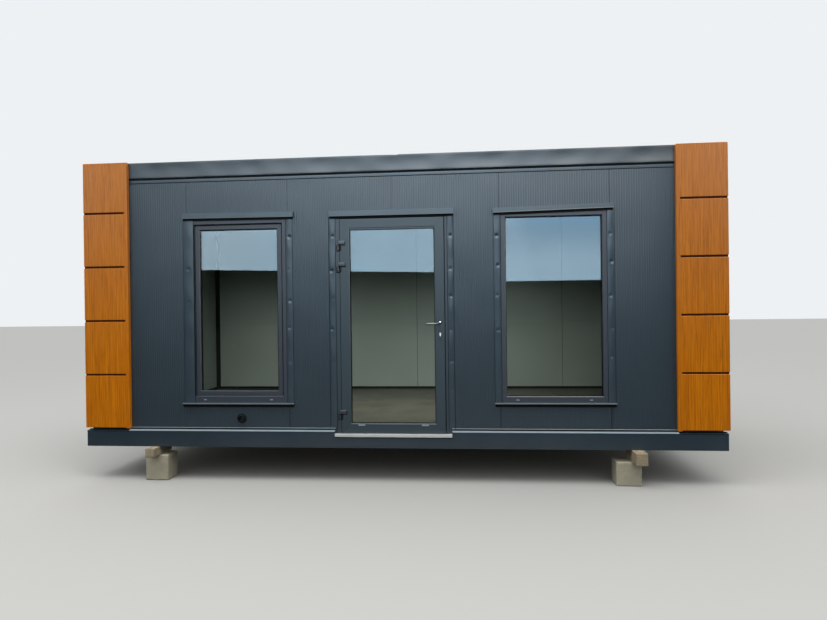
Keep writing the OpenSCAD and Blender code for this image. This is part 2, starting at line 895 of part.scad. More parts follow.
// Leaf side of each hinge: the upper knuckle over the pin, with its arm along the leaf's
// face and a boss at the arm's end
module door_hinge_arms() {
  face = leaf_front - hinge_d;
  color("#2a2b30")
    for (z = hinge_z) at_hinge(z) difference() {
      translate([0, 0, fit / 2]) {
        cylinder(r = barrel_r, h = knuckle);
        translate([0, -barrel_r, 0]) cube([hinge_off + 1, face + barrel_r, knuckle]);
        translate([hinge_off, face - arm_t, knuckle - arm_h]) cube([arm_l, arm_t, arm_h]);
        translate([hinge_off + arm_l - boss_w, face - arm_t - 3, knuckle - arm_h - 6])
          cube([boss_w, arm_t + 3, arm_h + 6]);
      }
      translate([0, 0, -1])
        cylinder(r = pin_r + pin_gap, h = hinge_h / 2 - pin_cap + 1 + fit);
    }
}

leaf_pocket = (leaf_d - pocket_d) / 2;
leaf_light = [leaf_w - 2 * leaf_face, leaf_h - 2 * leaf_face];

module at_leaf(d, z) {
  facade() translate([door_x, leaf_front + d, leaf_z + z]) children();
}

// Leaf with an overlap all round its front
module door_leaf() {
  color("#4a4b54") difference() {
    at_leaf(0, 0) difference() {
      union() {
        translate([-leaf_w / 2, 0, 0]) cube([leaf_w, lip_t, leaf_h]);
        translate([-leaf_w / 2 + body_in, 0, body_in])
          cube([leaf_w - 2 * body_in, leaf_d, leaf_h - 2 * body_in]);
      }
      light(leaf_w, leaf_h, glazed_points(leaf_d, leaf_face, leaf_pocket));
    }
    facade() translate([lock_x, 0, lever_z]) rotate([-90, 0, 0])
      cylinder(r = neck_r + 2, h = inside_d);
  }
}

module door_glass() {
  color("#9fb6c4", 0.4) at_leaf(leaf_pocket, leaf_face) panes(leaf_light[0], leaf_light[1]);
}

module door_spacer() {
  color("#202326") at_leaf(leaf_pocket, leaf_face) spacer(leaf_light[0], leaf_light[1]);
}

// Lock plate standing out towards -Y from depth 0, with its round lever seat and cylinder
module lock_plate() {
  end = plate_w / 2;
  top = plate_h - cylinder_drop - 70;
  difference() {
    rotate([90, 0, 0]) linear_extrude(plate_t) {
      translate([0, top - end]) circle(r = end);
      translate([0, top - plate_h + end]) circle(r = end);
      translate([-end, top - plate_h + end]) square([plate_w, plate_h - plate_w]);
    }
    rotate([90, 0, 0]) translate([0, 0, -1]) cylinder(r = neck_r + fit, h = plate_t + 2);
  }
  translate([0, 0, -cylinder_drop]) difference() {
    rotate([90, 0, 0]) linear_extrude(plate_t + 3) {
      circle(r = 8.5);
      translate([-5, -20]) square([10, 20]);
      translate([0, -20]) circle(r = 5);
    }
    translate([-1, -plate_t - 4, -4]) cube([2, 3, 8]);
  }
}

module door_lock_plates() {
  color("#8d9093") facade() {
    translate([lock_x, leaf_front, lever_z]) lock_plate();
    translate([lock_x, leaf_front + leaf_d, lever_z]) mirror([0, 1, 0]) lock_plate();
  }
}

module door_drain_covers() {
  color("#3a3b43") at_leaf(0, leaf_face - bevel - 15)
    for (s = [-1, 1])
      translate([s * cover_x - cover_w / 2, -5, 0]) cube([cover_w, 5, 13]);
}

// One lever: neck from the leaf's face out to a grip that points to the hinge side
module lever_half() {
  reach = plate_t + neck_l;
  rotate([90, 0, 0]) cylinder(r = neck_r, h = reach + grip_t / 2);
  translate([0, -reach, 0]) rotate([90, 0, 0]) linear_extrude(grip_t) {
    circle(d = grip_h);
    translate([-lever_l + grip_h / 2, -grip_h / 2]) square([lever_l - grip_h / 2, grip_h]);
    translate([-lever_l + grip_h / 2, 0]) circle(d = grip_h);
  }
}

module door_lever() {
  color("#8d9093") facade() {
    translate([lock_x, leaf_front, lever_z]) lever_half();
    translate([lock_x, leaf_front + leaf_d, lever_z]) mirror([0, 1, 0]) lever_half();
    translate([lock_x - 4, leaf_front - 1, lever_z - 4]) cube([8, leaf_d + 2, 8]);
  }
}

// Places a block or packer at the left or right of the front and rear
module stack(x, y) {
  for (s = [-1, 1]) translate([x, s * y, 0]) children();
}

module support_blocks() {
  y = cabin_w / 2 - block_inset - block_l / 2;
  color("#a39f94") {
    stack(-left_block_x, y) translate([-block_w / 2, -block_l / 2, 0])
      cube([block_w, block_l, base_z - left_packer[1]]);
    stack(right_block_x, y) translate([-block_w / 2, -block_l / 2, 0])
      cube([block_w, block_l, base_z - right_packer[1]]);
  }
}

module packer(size) {
  translate([-size[0] / 2, -packer_l / 2, base_z - size[1]])
    cube([size[0], packer_l, size[1]]);
}

module timber_packers() {
  y = cabin_w / 2 - packer_l / 2;
  color("#8a7862") {
    stack(-left_block_x - left_packer_shift, y + left_packer_out) packer(left_packer);
    stack(right_block_x + right_packer_shift, y + right_packer_out) packer(right_packer);
  }
}

support_blocks();
timber_packers();
base_front_rail();
base_rear_rail();
base_left_rail();
base_right_rail();
cross_members();
floor_deck();
corner_posts();
front_wall_left();
front_wall_right();
front_wall_over_door();
rear_wall();
left_wall();
right_wall();
roof_front_beam();
roof_rear_beam();
roof_left_beam();
roof_right_beam();
roof_panel();
front_fascia();
rear_fascia();
left_fascia();
right_fascia();
wall_top_trims();
ledge_flashings();
cladding_carriers();
front_left_cladding();
front_right_cladding();
rear_left_cladding();
rear_right_cladding();
cladding_edge_trims();
left_window_frame();
left_window_sash();
left_window_glass();
left_window_handle();
right_window_frame();
right_window_glass();
window_spacers();
window_sills();
head_flashings();
jamb_strips();
service_outlet();
drain_caps();
door_frame();
door_threshold();
door_hinge_pins();
door_leaf();
door_glass();
door_spacer();
door_hinge_arms();
door_lock_plates();
door_drain_covers();
door_lever();
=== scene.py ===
# %% [markdown]
# # A portable site cabin, dressed
#
# The construction of the cabin is finished: every panel, rail, frame and hinge is a solid with its
# real size. This notebook gives those solids their looks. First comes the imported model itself. Each
# solid arrives as an object at the origin with its place in its mesh, in metres, with X along the
# front, -Y towards the viewer and Z up. Working round a fixed frame means that nothing is placed by
# eye: a new piece asks the frame where the solids beside it are.

import math

import bmesh
import bpy
import numpy as np
from mathutils import Matrix, Vector


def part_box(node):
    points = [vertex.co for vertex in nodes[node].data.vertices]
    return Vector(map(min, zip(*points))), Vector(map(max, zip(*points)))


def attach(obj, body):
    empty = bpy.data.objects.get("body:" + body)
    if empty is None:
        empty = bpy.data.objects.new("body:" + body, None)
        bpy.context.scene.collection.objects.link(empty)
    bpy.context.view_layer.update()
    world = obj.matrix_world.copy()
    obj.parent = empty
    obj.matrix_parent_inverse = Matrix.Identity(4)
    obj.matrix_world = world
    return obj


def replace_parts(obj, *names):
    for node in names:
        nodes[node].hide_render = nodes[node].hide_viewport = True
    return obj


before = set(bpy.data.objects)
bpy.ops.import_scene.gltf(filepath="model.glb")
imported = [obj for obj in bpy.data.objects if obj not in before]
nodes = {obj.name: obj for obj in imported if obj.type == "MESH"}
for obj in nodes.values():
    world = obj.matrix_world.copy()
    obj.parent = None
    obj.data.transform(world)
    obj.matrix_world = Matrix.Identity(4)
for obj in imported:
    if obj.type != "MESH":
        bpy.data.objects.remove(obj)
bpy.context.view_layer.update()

# %% [markdown]
# ## The camera
#
# The picture to match was taken by someone standing seven metres from the middle of the cabin, with
# a wide lens at eye level. A camera can be placed by trying, or solved: seventeen points on straight
# edges were matched to their pixels, and the solver gave the place, three small turns and the focal
# length in pixels. The lens in millimetres follows from the focal length and the picture's width.

# %% Camera
PICTURE_WIDTH = 827
FOCAL_PIXELS = 602.9


def camera_axes(yaw, pitch, roll):
    """Right, up and forward of a camera that looks along +Y, turned left by yaw, up by pitch and
    then about its own line of sight by roll, all in degrees."""
    yaw, pitch, roll = np.radians([yaw, pitch, roll])
    level = np.array([-np.sin(yaw), np.cos(yaw), 0.0])
    side = np.array([np.cos(yaw), np.sin(yaw), 0.0])
    plumb = np.array([0.0, 0.0, 1.0])
    forward = level * np.cos(pitch) + plumb * np.sin(pitch)
    upright = plumb * np.cos(pitch) - level * np.sin(pitch)
    right = side * np.cos(roll) + upright * np.sin(roll)
    up = upright * np.cos(roll) - side * np.sin(roll)
    return right, up, forward


lens = bpy.data.cameras.new("camera")
lens.sensor_fit = "HORIZONTAL"
lens.sensor_width = 36.0
lens.lens = FOCAL_PIXELS / PICTURE_WIDTH * 36.0
camera = bpy.data.objects.new("camera", lens)
right, up, forward = camera_axes(5.002, -0.189, -0.698)
turn = np.eye(4)
turn[:3, :3] = np.column_stack([right, up, -forward])
turn[:3, 3] = (0.69, -7.07, 1.634)
camera.matrix_world = Matrix(turn.tolist())
bpy.context.scene.collection.objects.link(camera)
bpy.context.scene.camera = camera
bpy.context.scene.view_settings.view_transform = "Standard"
print("lens", round(lens.lens, 2), "mm")

# %% [markdown]
# ## Nodes and colours
#
# A finish is a small graph of shader nodes. Three helpers keep the graphs readable. One turns a
# colour as a designer writes it, in hexadecimal sRGB, into the linear numbers that the renderer adds
# up. One fills the sockets of a node, in the order in which the editor shows them or by name, with a
# value, a colour or a link from another node. The third adds a node and hands back its first output.

# %% Colour and node helpers
def linear(code):
    """Linear RGBA of an sRGB hex colour: c/12.92 up to 0.04045, and ((c+0.055)/1.055)^2.4 above."""
    c = np.array([int(code[i : i + 2], 16) for i in (1, 3, 5)]) / 255
    c = np.where(c <= 0.04045, c / 12.92, ((c + 0.055) / 1.055) ** 2.4)
    return (*c.tolist(), 1.0)


def fill(target, inputs):
    """Fills a node's sockets, in their order or by name: with a link, a number or a hex colour."""
    in_use = [socket for socket in target.inputs if socket.enabled]
    for key, value in (inputs.items() if isinstance(inputs, dict) else enumerate(inputs)):
        socket = target.inputs[key] if isinstance(key, str) else in_use[key]
        if isinstance(value, bpy.types.NodeSocket):
            target.id_data.links.new(value, socket)
        else:
            socket.default_value = linear(value) if isinstance(value, str) else value


def node(tree, kind, inputs, **settings):
    """Adds one shader node with its settings, fills its sockets and returns its first output."""
    new = tree.nodes.new("ShaderNode" + kind)
    for name, value in settings.items():
        setattr(new, name, value)
    fill(new, inputs)
    return next((socket for socket in new.outputs if socket.enabled), None)


print("anthracite is", [round(v, 4) for v in linear("#202B32")[:3]])

# %% [markdown]
# Each finish starts from one Principled shader. All patterns are measured on Object coordinates,
# which are metres here, so a scale is one divided by a real size. Plain plastics, rubbers and coated
# metals have no pattern of their own: they only differ a little in tone from place to place, so one
# function mottles them all. It shows as soon as a part is larger than a patch, and keeps it from
# looking like a flat fill.

# %% A finish, and which solids wear it
def finish_of(name, **constants):
    """A new material with one Principled shader. Returns it with its tree, its shader and the
    Object coordinates that its patterns are measured on."""
    material = bpy.data.materials.new(name)
    material.use_nodes = True
    tree = material.node_tree
    shader = tree.nodes["Principled BSDF"]
    for key, value in constants.items():
        shader.inputs[key.replace("_", " ")].default_value = value
    place = node(tree, "TexCoord", ()).node.outputs["Object"]
    return material, tree, shader, place


def mottled(name, scale, dark, pale, detail=4.0, gloss=None, grain=None, **constants):
    """A finish whose tone wanders between two colours in patches of 1/scale metres. A gloss (low,
    high) lets the roughness wander too, and a grain (scale, detail, strength) adds 0.1 mm relief."""
    material, tree, shader, place = finish_of(name, **constants)
    cloud = node(tree, "TexNoise", (place, scale, detail))
    fill(shader, {"Base Color": node(tree, "Mix", (cloud, dark, pale), data_type="RGBA")})
    if gloss:
        fill(shader, {"Roughness": node(tree, "MapRange", (cloud, 0.0, 1.0, *gloss))})
    if grain:
        grit = node(tree, "TexNoise", (place, *grain[:2]))
        relief = {"Strength": grain[2], "Distance": 0.0001, "Height": grit}
        fill(shader, {"Normal": node(tree, "Bump", relief)})
    return material


def wear(material, *names):
    """The named CAD solids get this material."""
    for name in names:
        solid = nodes[name]
        solid.data.materials.clear()
        solid.data.materials.append(material)
    print(material.name, "on", len(names), "solids")


# %% [markdown]
# ## Making a piece
#
# Nearly everything on a cabin is a folded sheet, an extruded profile or a strip of rubber. One idea
# makes them all: a closed section is carried along a path, as a roll former or an extruder does it.
# With numpy the whole surface is one array: a grid with a station of the path in each row and a
# point of the section in each column. The same grid gives the faces. Afterwards the doubled points
# are merged and the faces are turned outwards.

# %% Swept surfaces
def sweep(section, origins, across, upward, closed=False):
    """Carries a closed section along a path. Point i of the section, (a, b), stands at station j at
    P = O[j] + a A[j] + b U[j]. The section may differ from station to station. Returns the points
    and the faces: quads between stations, and a flat cap at each end unless the path is closed."""
    section = np.asarray(section, float)
    origins, across, upward = (np.atleast_2d(np.asarray(v, float)) for v in (origins, across, upward))
    stations = len(origins)
    if section.ndim == 2:
        section = np.repeat(section[None], stations, 0)
    width = section.shape[1]
    points = origins[:, None] + section[..., :1] * across[:, None] + section[..., 1:] * upward[:, None]
    j, i = np.meshgrid(np.arange(stations if closed else stations - 1), np.arange(width), indexing="ij")
    j2, i2 = (j + 1) % stations, (i + 1) % width
    quads = np.stack([j * width + i, j * width + i2, j2 * width + i2, j2 * width + i], -1)
    faces = quads.reshape(-1, 4).tolist()
    if not closed:
        faces += [list(range(width))[::-1], list(range((stations - 1) * width, stations * width))]
    return points.reshape(-1, 3), faces


def straight(section, start, end, outward, upward=(0, 0, 1)):
    """A section carried along one straight line."""
    return sweep(section, [start, end], [outward] * 2, [upward] * 2)


def joined(parts):
    """Several (points, faces) as one."""
    points = np.concatenate([p for p, _ in parts])
    faces, start = [], 0
    for p, f in parts:
        faces += [[corner + start for corner in face] for face in f]
        start += len(p)
    return points, faces


def piece(name, shape, body, material, smooth=35):
    """An object from (points, faces) that rides on a body; edges under smooth degrees are soft."""
    mesh = bpy.data.meshes.new(name)
    mesh.from_pydata(shape[0].tolist(), [], shape[1])
    edit = bmesh.new()
    edit.from_mesh(mesh)
    bmesh.ops.remove_doubles(edit, verts=edit.verts, dist=1e-6)
    bmesh.ops.dissolve_degenerate(edit, edges=edit.edges, dist=1e-7)
    bmesh.ops.recalc_face_normals(edit, faces=edit.faces)
    edit.to_mesh(mesh)
    edit.free()
    mesh.shade_smooth()
    mesh.set_sharp_from_angle(angle=math.radians(smooth))
    mesh.materials.append(material)
    new = bpy.data.objects.new(name, mesh)
    bpy.context.scene.collection.objects.link(new)
    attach(new, body)
    print(name, len(mesh.polygons), "faces")
    return new


# %% [markdown]
# ## Floor and light
#
# The cabin stands in a plain studio: a pale floor, a pale backdrop and a dome of soft light that is
# brightest overhead, as an overcast sky is, with one large soft box above the front. Only the camera
# sees floor and backdrop as pale. Glass, metal and satin paint show what they mirror, so a ray that
# has been mirrored meets another world: a sky, a dark band at the horizon and a dull ground. Light
# Path tells the rays apart: a mirrored one has a glossy bounce behind it and hasn't been scattered
# since.

# %% Telling rays apart
scene = bpy.context.scene


def mirror_ray(tree):
    """1 for a ray that has been mirrored by glass, metal or paint and not scattered since."""
    rays = node(tree, "LightPath", ()).node.outputs
    bounced = node(tree, "Math", (rays["Glossy Depth"], 0.5), operation="GREATER_THAN")
    kept = node(tree, "Math", (1.0, rays["Is Diffuse Ray"]), operation="SUBTRACT")
    return node(tree, "Math", (bounced, kept), operation="MULTIPLY")


def seen_ray(tree):
    """1 for a ray from the camera, straight or through glass."""
    rays = node(tree, "LightPath", ()).node.outputs
    return node(tree, "Math", (rays["Is Camera Ray"], rays["Is Transmission Ray"]), operation="MAXIMUM")


print("mirrored and seen rays can be told apart")


# %% [markdown]
# The mirrored world needs two measures of a direction. Seen from the long front wall, aside is
# how far a ray runs to the right for each metre that it leaves the wall, and climb is how far it
# rises. Both are tangents, so straight things such as a roofline stay straight in them. The sky is
# bluer low down and on the right, hazy on the left and pale above, and stops at a roofline.

# %% The mirrored sky and its roofline
world = bpy.data.worlds.new("studio")
scene.world = world
world.use_nodes = True
tree = world.node_tree
tree.nodes.clear()
direction = node(tree, "TexCoord", ()).node.outputs["Generated"]
heading = node(tree, "SeparateXYZ", (direction,)).node.outputs
ahead = node(tree, "Math", (heading[1],), operation="ABSOLUTE")
ahead = node(tree, "Math", (ahead, 0.05), operation="MAXIMUM")
aside = node(tree, "Math", (heading[0], ahead), operation="DIVIDE")
climb = node(tree, "Math", (heading[2], ahead), operation="DIVIDE")
left_edge = node(tree, "MapRange", (aside, -0.44, -0.05, 0.0695, 0.059))
right_edge = node(tree, "MapRange", (aside, -0.03, 0.05, 0.0, 0.017))
roofline = node(tree, "Math", (left_edge, right_edge), operation="SUBTRACT")
over = node(tree, "Math", (climb, roofline), operation="GREATER_THAN")
clouds = node(tree, "TexNoise", (direction, 3.0, 4.0))
puff = node(tree, "MapRange", (clouds, 0.4, 0.75, 0.0, 0.5))
low_sky = node(tree, "Mix", (puff, "#A8CAE6", "#D2E1EC"), data_type="RGBA")
rightwards = node(tree, "MapRange", (aside, 0.0, 0.12))
upwards = node(tree, "MapRange", (climb, 0.073, 0.15, 0.0, 0.75))
blue = node(tree, "Math", (rightwards, upwards), operation="MULTIPLY")
low_sky = node(tree, "Mix", (blue, low_sky, "#608EB8"), data_type="RGBA")
haze = node(tree, "MapRange", (aside, -0.2, -0.4, 0.0, 0.55))
low_sky = node(tree, "Mix", (haze, low_sky, "#B6C8D7"), data_type="RGBA")
high = node(tree, "MapRange", (climb, 0.15, 0.5))
warm = node(tree, "MapRange", (aside, -0.2, 0.35))
pale_sky = node(tree, "Mix", (warm, "#E4ECF2", "#F0EDE6"), data_type="RGBA")
sky = node(tree, "Mix", (high, low_sky, pale_sky), data_type="RGBA")
level = node(tree, "MapRange", (climb, 0.0, 0.055))
band = node(tree, "Mix", (level, "#070908", "#050706"), data_type="RGBA")
mirrored = node(tree, "Mix", (over, band, sky), data_type="RGBA")
print("mirrored sky with", len(tree.nodes), "nodes")

# %% [markdown]
# How bright that sky is decides how the satin walls look, because each spot of a wall mirrors its
# own part of it. It is bright in the middle and dark to both sides, with a little light again above
# the far corners. Far out on either side there is a low bright strip. A flat wall hardly mirrors it,
# but the slanted sides of the wall's ribs do, and so the ribs show at both ends of the wall and
# vanish in its middle. Overhead the sky is brighter on the right.

# %% Brightness of the mirrored sky
off_centre = node(tree, "Math", (aside, 0.12), operation="ADD")
off_centre = node(tree, "Math", (off_centre,), operation="ABSOLUTE")
middle = node(tree, "MapRange", (off_centre, 0.34, 0.395, 1.0, 0.0))
corner = node(tree, "MapRange", (off_centre, 0.48, 0.54, 0.0, 0.4))
raised = node(tree, "MapRange", (climb, 0.09, 0.2))
spread = node(tree, "Math", (corner, raised, middle), operation="MULTIPLY_ADD")
far_right = node(tree, "MapRange", (aside, 1.75, 2.4, 0.0, 1.3))
far_left = node(tree, "MapRange", (aside, -1.9, -2.6, 0.0, 2.2))
strip = node(tree, "Math", (far_right, far_left), operation="ADD")
rising = node(tree, "MapRange", (climb, 0.03, 0.18))
sinking = node(tree, "MapRange", (climb, 0.20, 0.30, 1.0, 0.0))
low = node(tree, "Math", (rising, sinking), operation="MULTIPLY")
spread = node(tree, "Math", (strip, low, spread), operation="MULTIPLY_ADD")
upper = node(tree, "MapRange", (climb, 0.3, 0.8, 0.0, 0.33))
spread = node(tree, "Mix", (upper, spread, 1.0), data_type="FLOAT")
gain = node(tree, "MapRange", (climb, 0.125, 0.26, 3.75, 9.8))
gain = node(tree, "Math", (gain, spread), operation="MULTIPLY")
tilt = node(tree, "MapRange", (aside, -0.6, 0.3, 0.41, 1.6))
tilt = node(tree, "Mix", (high, 1.0, tilt), data_type="FLOAT")
gain = node(tree, "Math", (gain, tilt), operation="MULTIPLY")
print("with its brightness", len(tree.nodes), "nodes")

# %% [markdown]
# The world's output puts both together: the mirrored sky for mirrored rays, plain white of strength
# 1 for the camera, and for all other rays a dome that is four times as bright overhead as at the
# horizon.

# %% The world
dome_light = node(tree, "MapRange", (heading[2], 0.0, 1.0, 0.5, 2.1))
plain = node(tree, "Mix", (seen_ray(tree), dome_light, 1.0), data_type="FLOAT")
lit = node(tree, "Mix", (seen_ray(tree), "#EDF0F2", "#EEF1F3"), data_type="RGBA")
sight = node(tree, "Mix", (mirror_ray(tree), lit, mirrored), data_type="RGBA")
power = node(tree, "Mix", (mirror_ray(tree), plain, gain), data_type="FLOAT")
node(tree, "OutputWorld", {"Surface": node(tree, "Background", (sight, power))})
print("world with", len(tree.nodes), "nodes")

# %% [markdown]
# Two lamps add to the dome. The soft box above the front gives the fascia and the cassettes their
# upper light. The other one hangs under the ceiling behind the front wall and stands for the
# daylight that falls into the room; its narrow spread keeps it off the rear wall's top, which is
# nearly black in such a room.

# %% Lamps
def soft_lamp(name, width, depth, energy, place, aim):
    """A rectangular soft lamp at a place, turned towards a point; it isn't seen itself."""
    lamp = bpy.data.lights.new(name, "AREA")
    lamp.shape = "RECTANGLE"
    lamp.size = width
    lamp.size_y = depth
    lamp.energy = energy
    holder = bpy.data.objects.new(name, lamp)
    holder.location = place
    holder.rotation_euler = (Vector(aim) - Vector(place)).to_track_quat("-Z", "Y").to_euler()
    holder.visible_camera = False
    holder.visible_glossy = False
    holder.visible_transmission = False
    scene.collection.objects.link(holder)
    return lamp


soft_lamp("soft_box", 9.0, 3.0, 380.0, (-1.0, -4.5, 8.0), (0.0, -0.9, 1.6))
daylight = soft_lamp("room_light", 4.8, 0.5, 22.5, (-0.3, -1.2, 2.35), (-0.3, 0.65, 0.45))
daylight.spread = np.radians(82.0)
print("soft box and room light")

# %% [markdown]
# The floor is pale for the camera. The light that it throws back under the cabin is that of a dark
# grey, so that the folds' undersides stay dark. In mirrored rays it is nearly black far away and
# grey only close to the door, where the walls' foot and the lower glass mirror it.

# %% Studio floor
FLOOR_REACH = 60

ground, tree, shader, place = finish_of("studio_floor", Roughness=0.9, Specular_IOR_Level=0.0)
mottle = node(tree, "TexNoise", (place, 1.3, 6.0))
spot = node(tree, "SeparateXYZ", (place,)).node.outputs
near = node(tree, "MapRange", (spot[1], -60.0, -9.0))
close = node(tree, "MapRange", (spot[1], -8.5, -5.0))
beside = node(tree, "Math", (spot[0],), operation="ABSOLUTE")
beside = node(tree, "MapRange", (beside, 1.2, 3.6))
lit_ground = node(tree, "Mix", (mottle, "#75736A", "#89877C"), data_type="RGBA")
lit_ground = node(tree, "Mix", (beside, lit_ground, "#2A2A27"), data_type="RGBA")
dull = node(tree, "Mix", (near, "#0A0C0B", "#20201D"), data_type="RGBA")
dull = node(tree, "Mix", (close, dull, lit_ground), data_type="RGBA")
shown = node(tree, "Mix", (seen_ray(tree), "#4B4B49", "#A9A8A4"), data_type="RGBA")
fill(shader, {"Base Color": node(tree, "Mix", (mirror_ray(tree), shown, dull), data_type="RGBA")})
mesh = bpy.data.meshes.new("floor")
square = [(x * FLOOR_REACH, y * FLOOR_REACH, 0) for x, y in ((-1, -1), (1, -1), (1, 1), (-1, 1))]
mesh.from_pydata(square, [], [(0, 1, 2, 3)])
mesh.materials.append(ground)
floor = bpy.data.objects.new("floor", mesh)
scene.collection.objects.link(floor)
print("floor", 2 * FLOOR_REACH, "m wide")

# %% [markdown]
# ## Micro-ribbed wall panels
#
# The walls are sandwich panels: two thin steel skins with a foam core, a metre wide. The outer skin
# is coil-coated with anthracite polyester, a tough satin paint baked on before the sheet is rolled,
# and it is rolled into narrow vertical ribs that stiffen it. The inner skin is smooth and cream. The
# ribs could be modelled, but they are a millimetre deep, so a bump of narrow grooves does the same
# and costs nothing. Real ribs are 16 mm apart; they are drawn 22 mm apart here, because finer ones
# would be lost between the picture's pixels. The joints are dark gaps, except the joints at the
# left end, which are drawn as a pale line: a painted highlight. Rolled sheet is never quite flat, so
# a slow wave bends its reflections.

# %% Wall panels
RIB_PITCH = 0.022
GROOVE = 0.004
RIB_RISE = 0.0018
PANEL = 1.0
JOINT_HALF = 0.0045
HIGHLIT_JOINT_X = -1.9
ROOM = (2.897, 1.362)
SKIN = 0.002

panel, tree, shader, place = finish_of("coil_coated_steel_panel", Roughness=0.31, IOR=1.5)
axis = node(tree, "SeparateXYZ", (place,)).node.outputs
away = [node(tree, "Math", (axis[i],), operation="ABSOLUTE") for i in (0, 1)]
along = node(tree, "Math", (axis[0], axis[1]), operation="ADD")
saw = node(tree, "Math", (along, RIB_PITCH / 2), operation="PINGPONG")
rib = node(tree, "MapRange", (saw, 0.0, GROOVE), interpolation_type="SMOOTHSTEP")
shade = node(tree, "TexNoise", (place, 0.8, 3.0))
coat = node(tree, "Mix", (shade, "#202B32", "#27333A"), data_type="RGBA")
long_joint = node(tree, "Math", (axis[0], PANEL / 2), operation="PINGPONG")
end_joint = node(tree, "Math", (away[1], PANEL / 2), operation="SUBTRACT")
end_joint = node(tree, "Math", (end_joint,), operation="ABSOLUTE")
joint = node(tree, "Math", (long_joint, end_joint), operation="MINIMUM")
joint = node(tree, "Math", (joint, JOINT_HALF), operation="LESS_THAN")
# Joints at the left end of the wall get a pale colour, a painted highlight; the others are dark gaps.
highlit_joint_side = node(tree, "Math", (axis[0], HIGHLIT_JOINT_X), operation="LESS_THAN")
edge = node(tree, "Mix", (highlit_joint_side, "#080B0D", "#35424A"), data_type="RGBA")
outer = node(tree, "Mix", (joint, coat, edge), data_type="RGBA")
deep = [node(tree, "Math", (away[i], ROOM[i] + SKIN), operation="LESS_THAN") for i in (0, 1)]
inside = node(tree, "Math", deep, operation="MULTIPLY")
cream = node(tree, "Mix", (shade, "#AAB2AC", "#BAC2BC"), data_type="RGBA")
rib = node(tree, "Math", (rib, inside), operation="MAXIMUM")
slow = node(tree, "TexNoise", (place, 1.7, 1.0))
relief = node(tree, "Math", (slow, 3.0, rib), operation="MULTIPLY_ADD")
fill(shader, {
    "Base Color": node(tree, "Mix", (inside, outer, cream), data_type="RGBA"),
    "Normal": node(tree, "Bump", {"Distance": RIB_RISE, "Height": relief}),
})
wear(panel, "front_wall_left", "front_wall_right", "front_wall_over_door", "rear_wall", "left_wall",
     "right_wall")

# %% [markdown]
# ## Folded sheet: fascia, flashings and strips
#
# The trim round the roof, the windows and the walls' foot is the same coil-coated steel, folded from
# flat sheet. Flat sheet has no ribs to hide its unevenness, so its slow waves show more, and it has
# picked up a little more of the sky. Each use has its own tone: the strips beside the openings match
# the walls, and sills, ledges and drip edges are paler, a painted sheen that stands for the sky
# mirrored by their upturned faces. One function with a colour pair makes them all, because only the
# tone, the waves and the gloss differ.

# %% Folded sheet
def folded_sheet(name, dark, pale, wave, roughness):
    """Flat coil-coated sheet: tone between two colours, waves of about 0.5 m and fine orange peel."""
    material, tree, shader, place = finish_of(name, Roughness=roughness, IOR=1.5)
    tone = node(tree, "TexNoise", (place, 2.2, 5.0, 0.6))
    slow = node(tree, "TexNoise", (place, 2.6, 1.5))
    peel = node(tree, "TexNoise", (place, 260.0, 2.0))
    relief = node(tree, "Math", (slow, wave, peel), operation="MULTIPLY_ADD")
    fill(shader, {
        "Base Color": node(tree, "Mix", (tone, dark, pale), data_type="RGBA"),
        "Normal": node(tree, "Bump", {"Distance": 0.0001, "Height": relief}),
    })
    return material


fascia_paint = folded_sheet("coil_coated_fascia_sheet", "#22292D", "#2B3236", 90.0, 0.34)
flashing_paint = folded_sheet("coil_coated_flashing_sheet", "#28343A", "#313D43", 40.0, 0.34)
# The sill and ledge colours are paler than the flashing's: a painted sheen of the sky.
sill_paint_painted_sheen = folded_sheet("coil_coated_sill_sheet_painted_sheen", "#434B50", "#4D565B", 40.0, 0.34)
ledge_paint_painted_sheen = folded_sheet("coil_coated_ledge_sheet_painted_sheen", "#77838B", "#87939A", 40.0, 0.34)
strip_paint = folded_sheet("coil_coated_strip_sheet", "#222E35", "#2C3840", 60.0, 0.30)
wear(fascia_paint, "rear_fascia", "left_fascia", "right_fascia")


# %% [markdown]
# The long fascia came in two sheets that lap near the middle. Two millimetres of spring in a thin
# fold show from far away, because they bend the sky's reflection. The face is therefore a grid that
# leans in and out by a sum of sines, held flat at its two folds, and the lower sheet's end droops a
# little at the lap.

# %% Front fascia
SHEET = 0.0012
LAP = 0.023
LAP_X = 0.067
FASCIA = (2.9255, 3.0775)
LEAN = 0.0030
DROOP_OVER = 0.4


def quarter(n, start):
    """Points of a quarter turn of radius 1 that begins at the angle start, in degrees."""
    t = np.radians(start + np.linspace(0, 90, n))
    return np.column_stack([np.cos(t), np.sin(t)])


def fold_path(inset, low, high, radius=0.003, back=0.090, lip=0.010, rows=9):
    """Depth and height along a fascia's section, from its lower lip round to its top's rear edge,
    set in by inset: lip, quarter turn, face, quarter turn, top."""
    foot = quarter(5, 180)[::-1] * (radius - inset) + (radius, low + radius)
    head = quarter(5, 90)[::-1] * (radius - inset) + (radius, high - radius)
    face = np.column_stack([np.full(rows, inset), np.linspace(low + radius, high - radius, rows)])
    return np.concatenate([[(lip, low + inset)], foot, face[1:-1], head, [(back, high - inset)]])


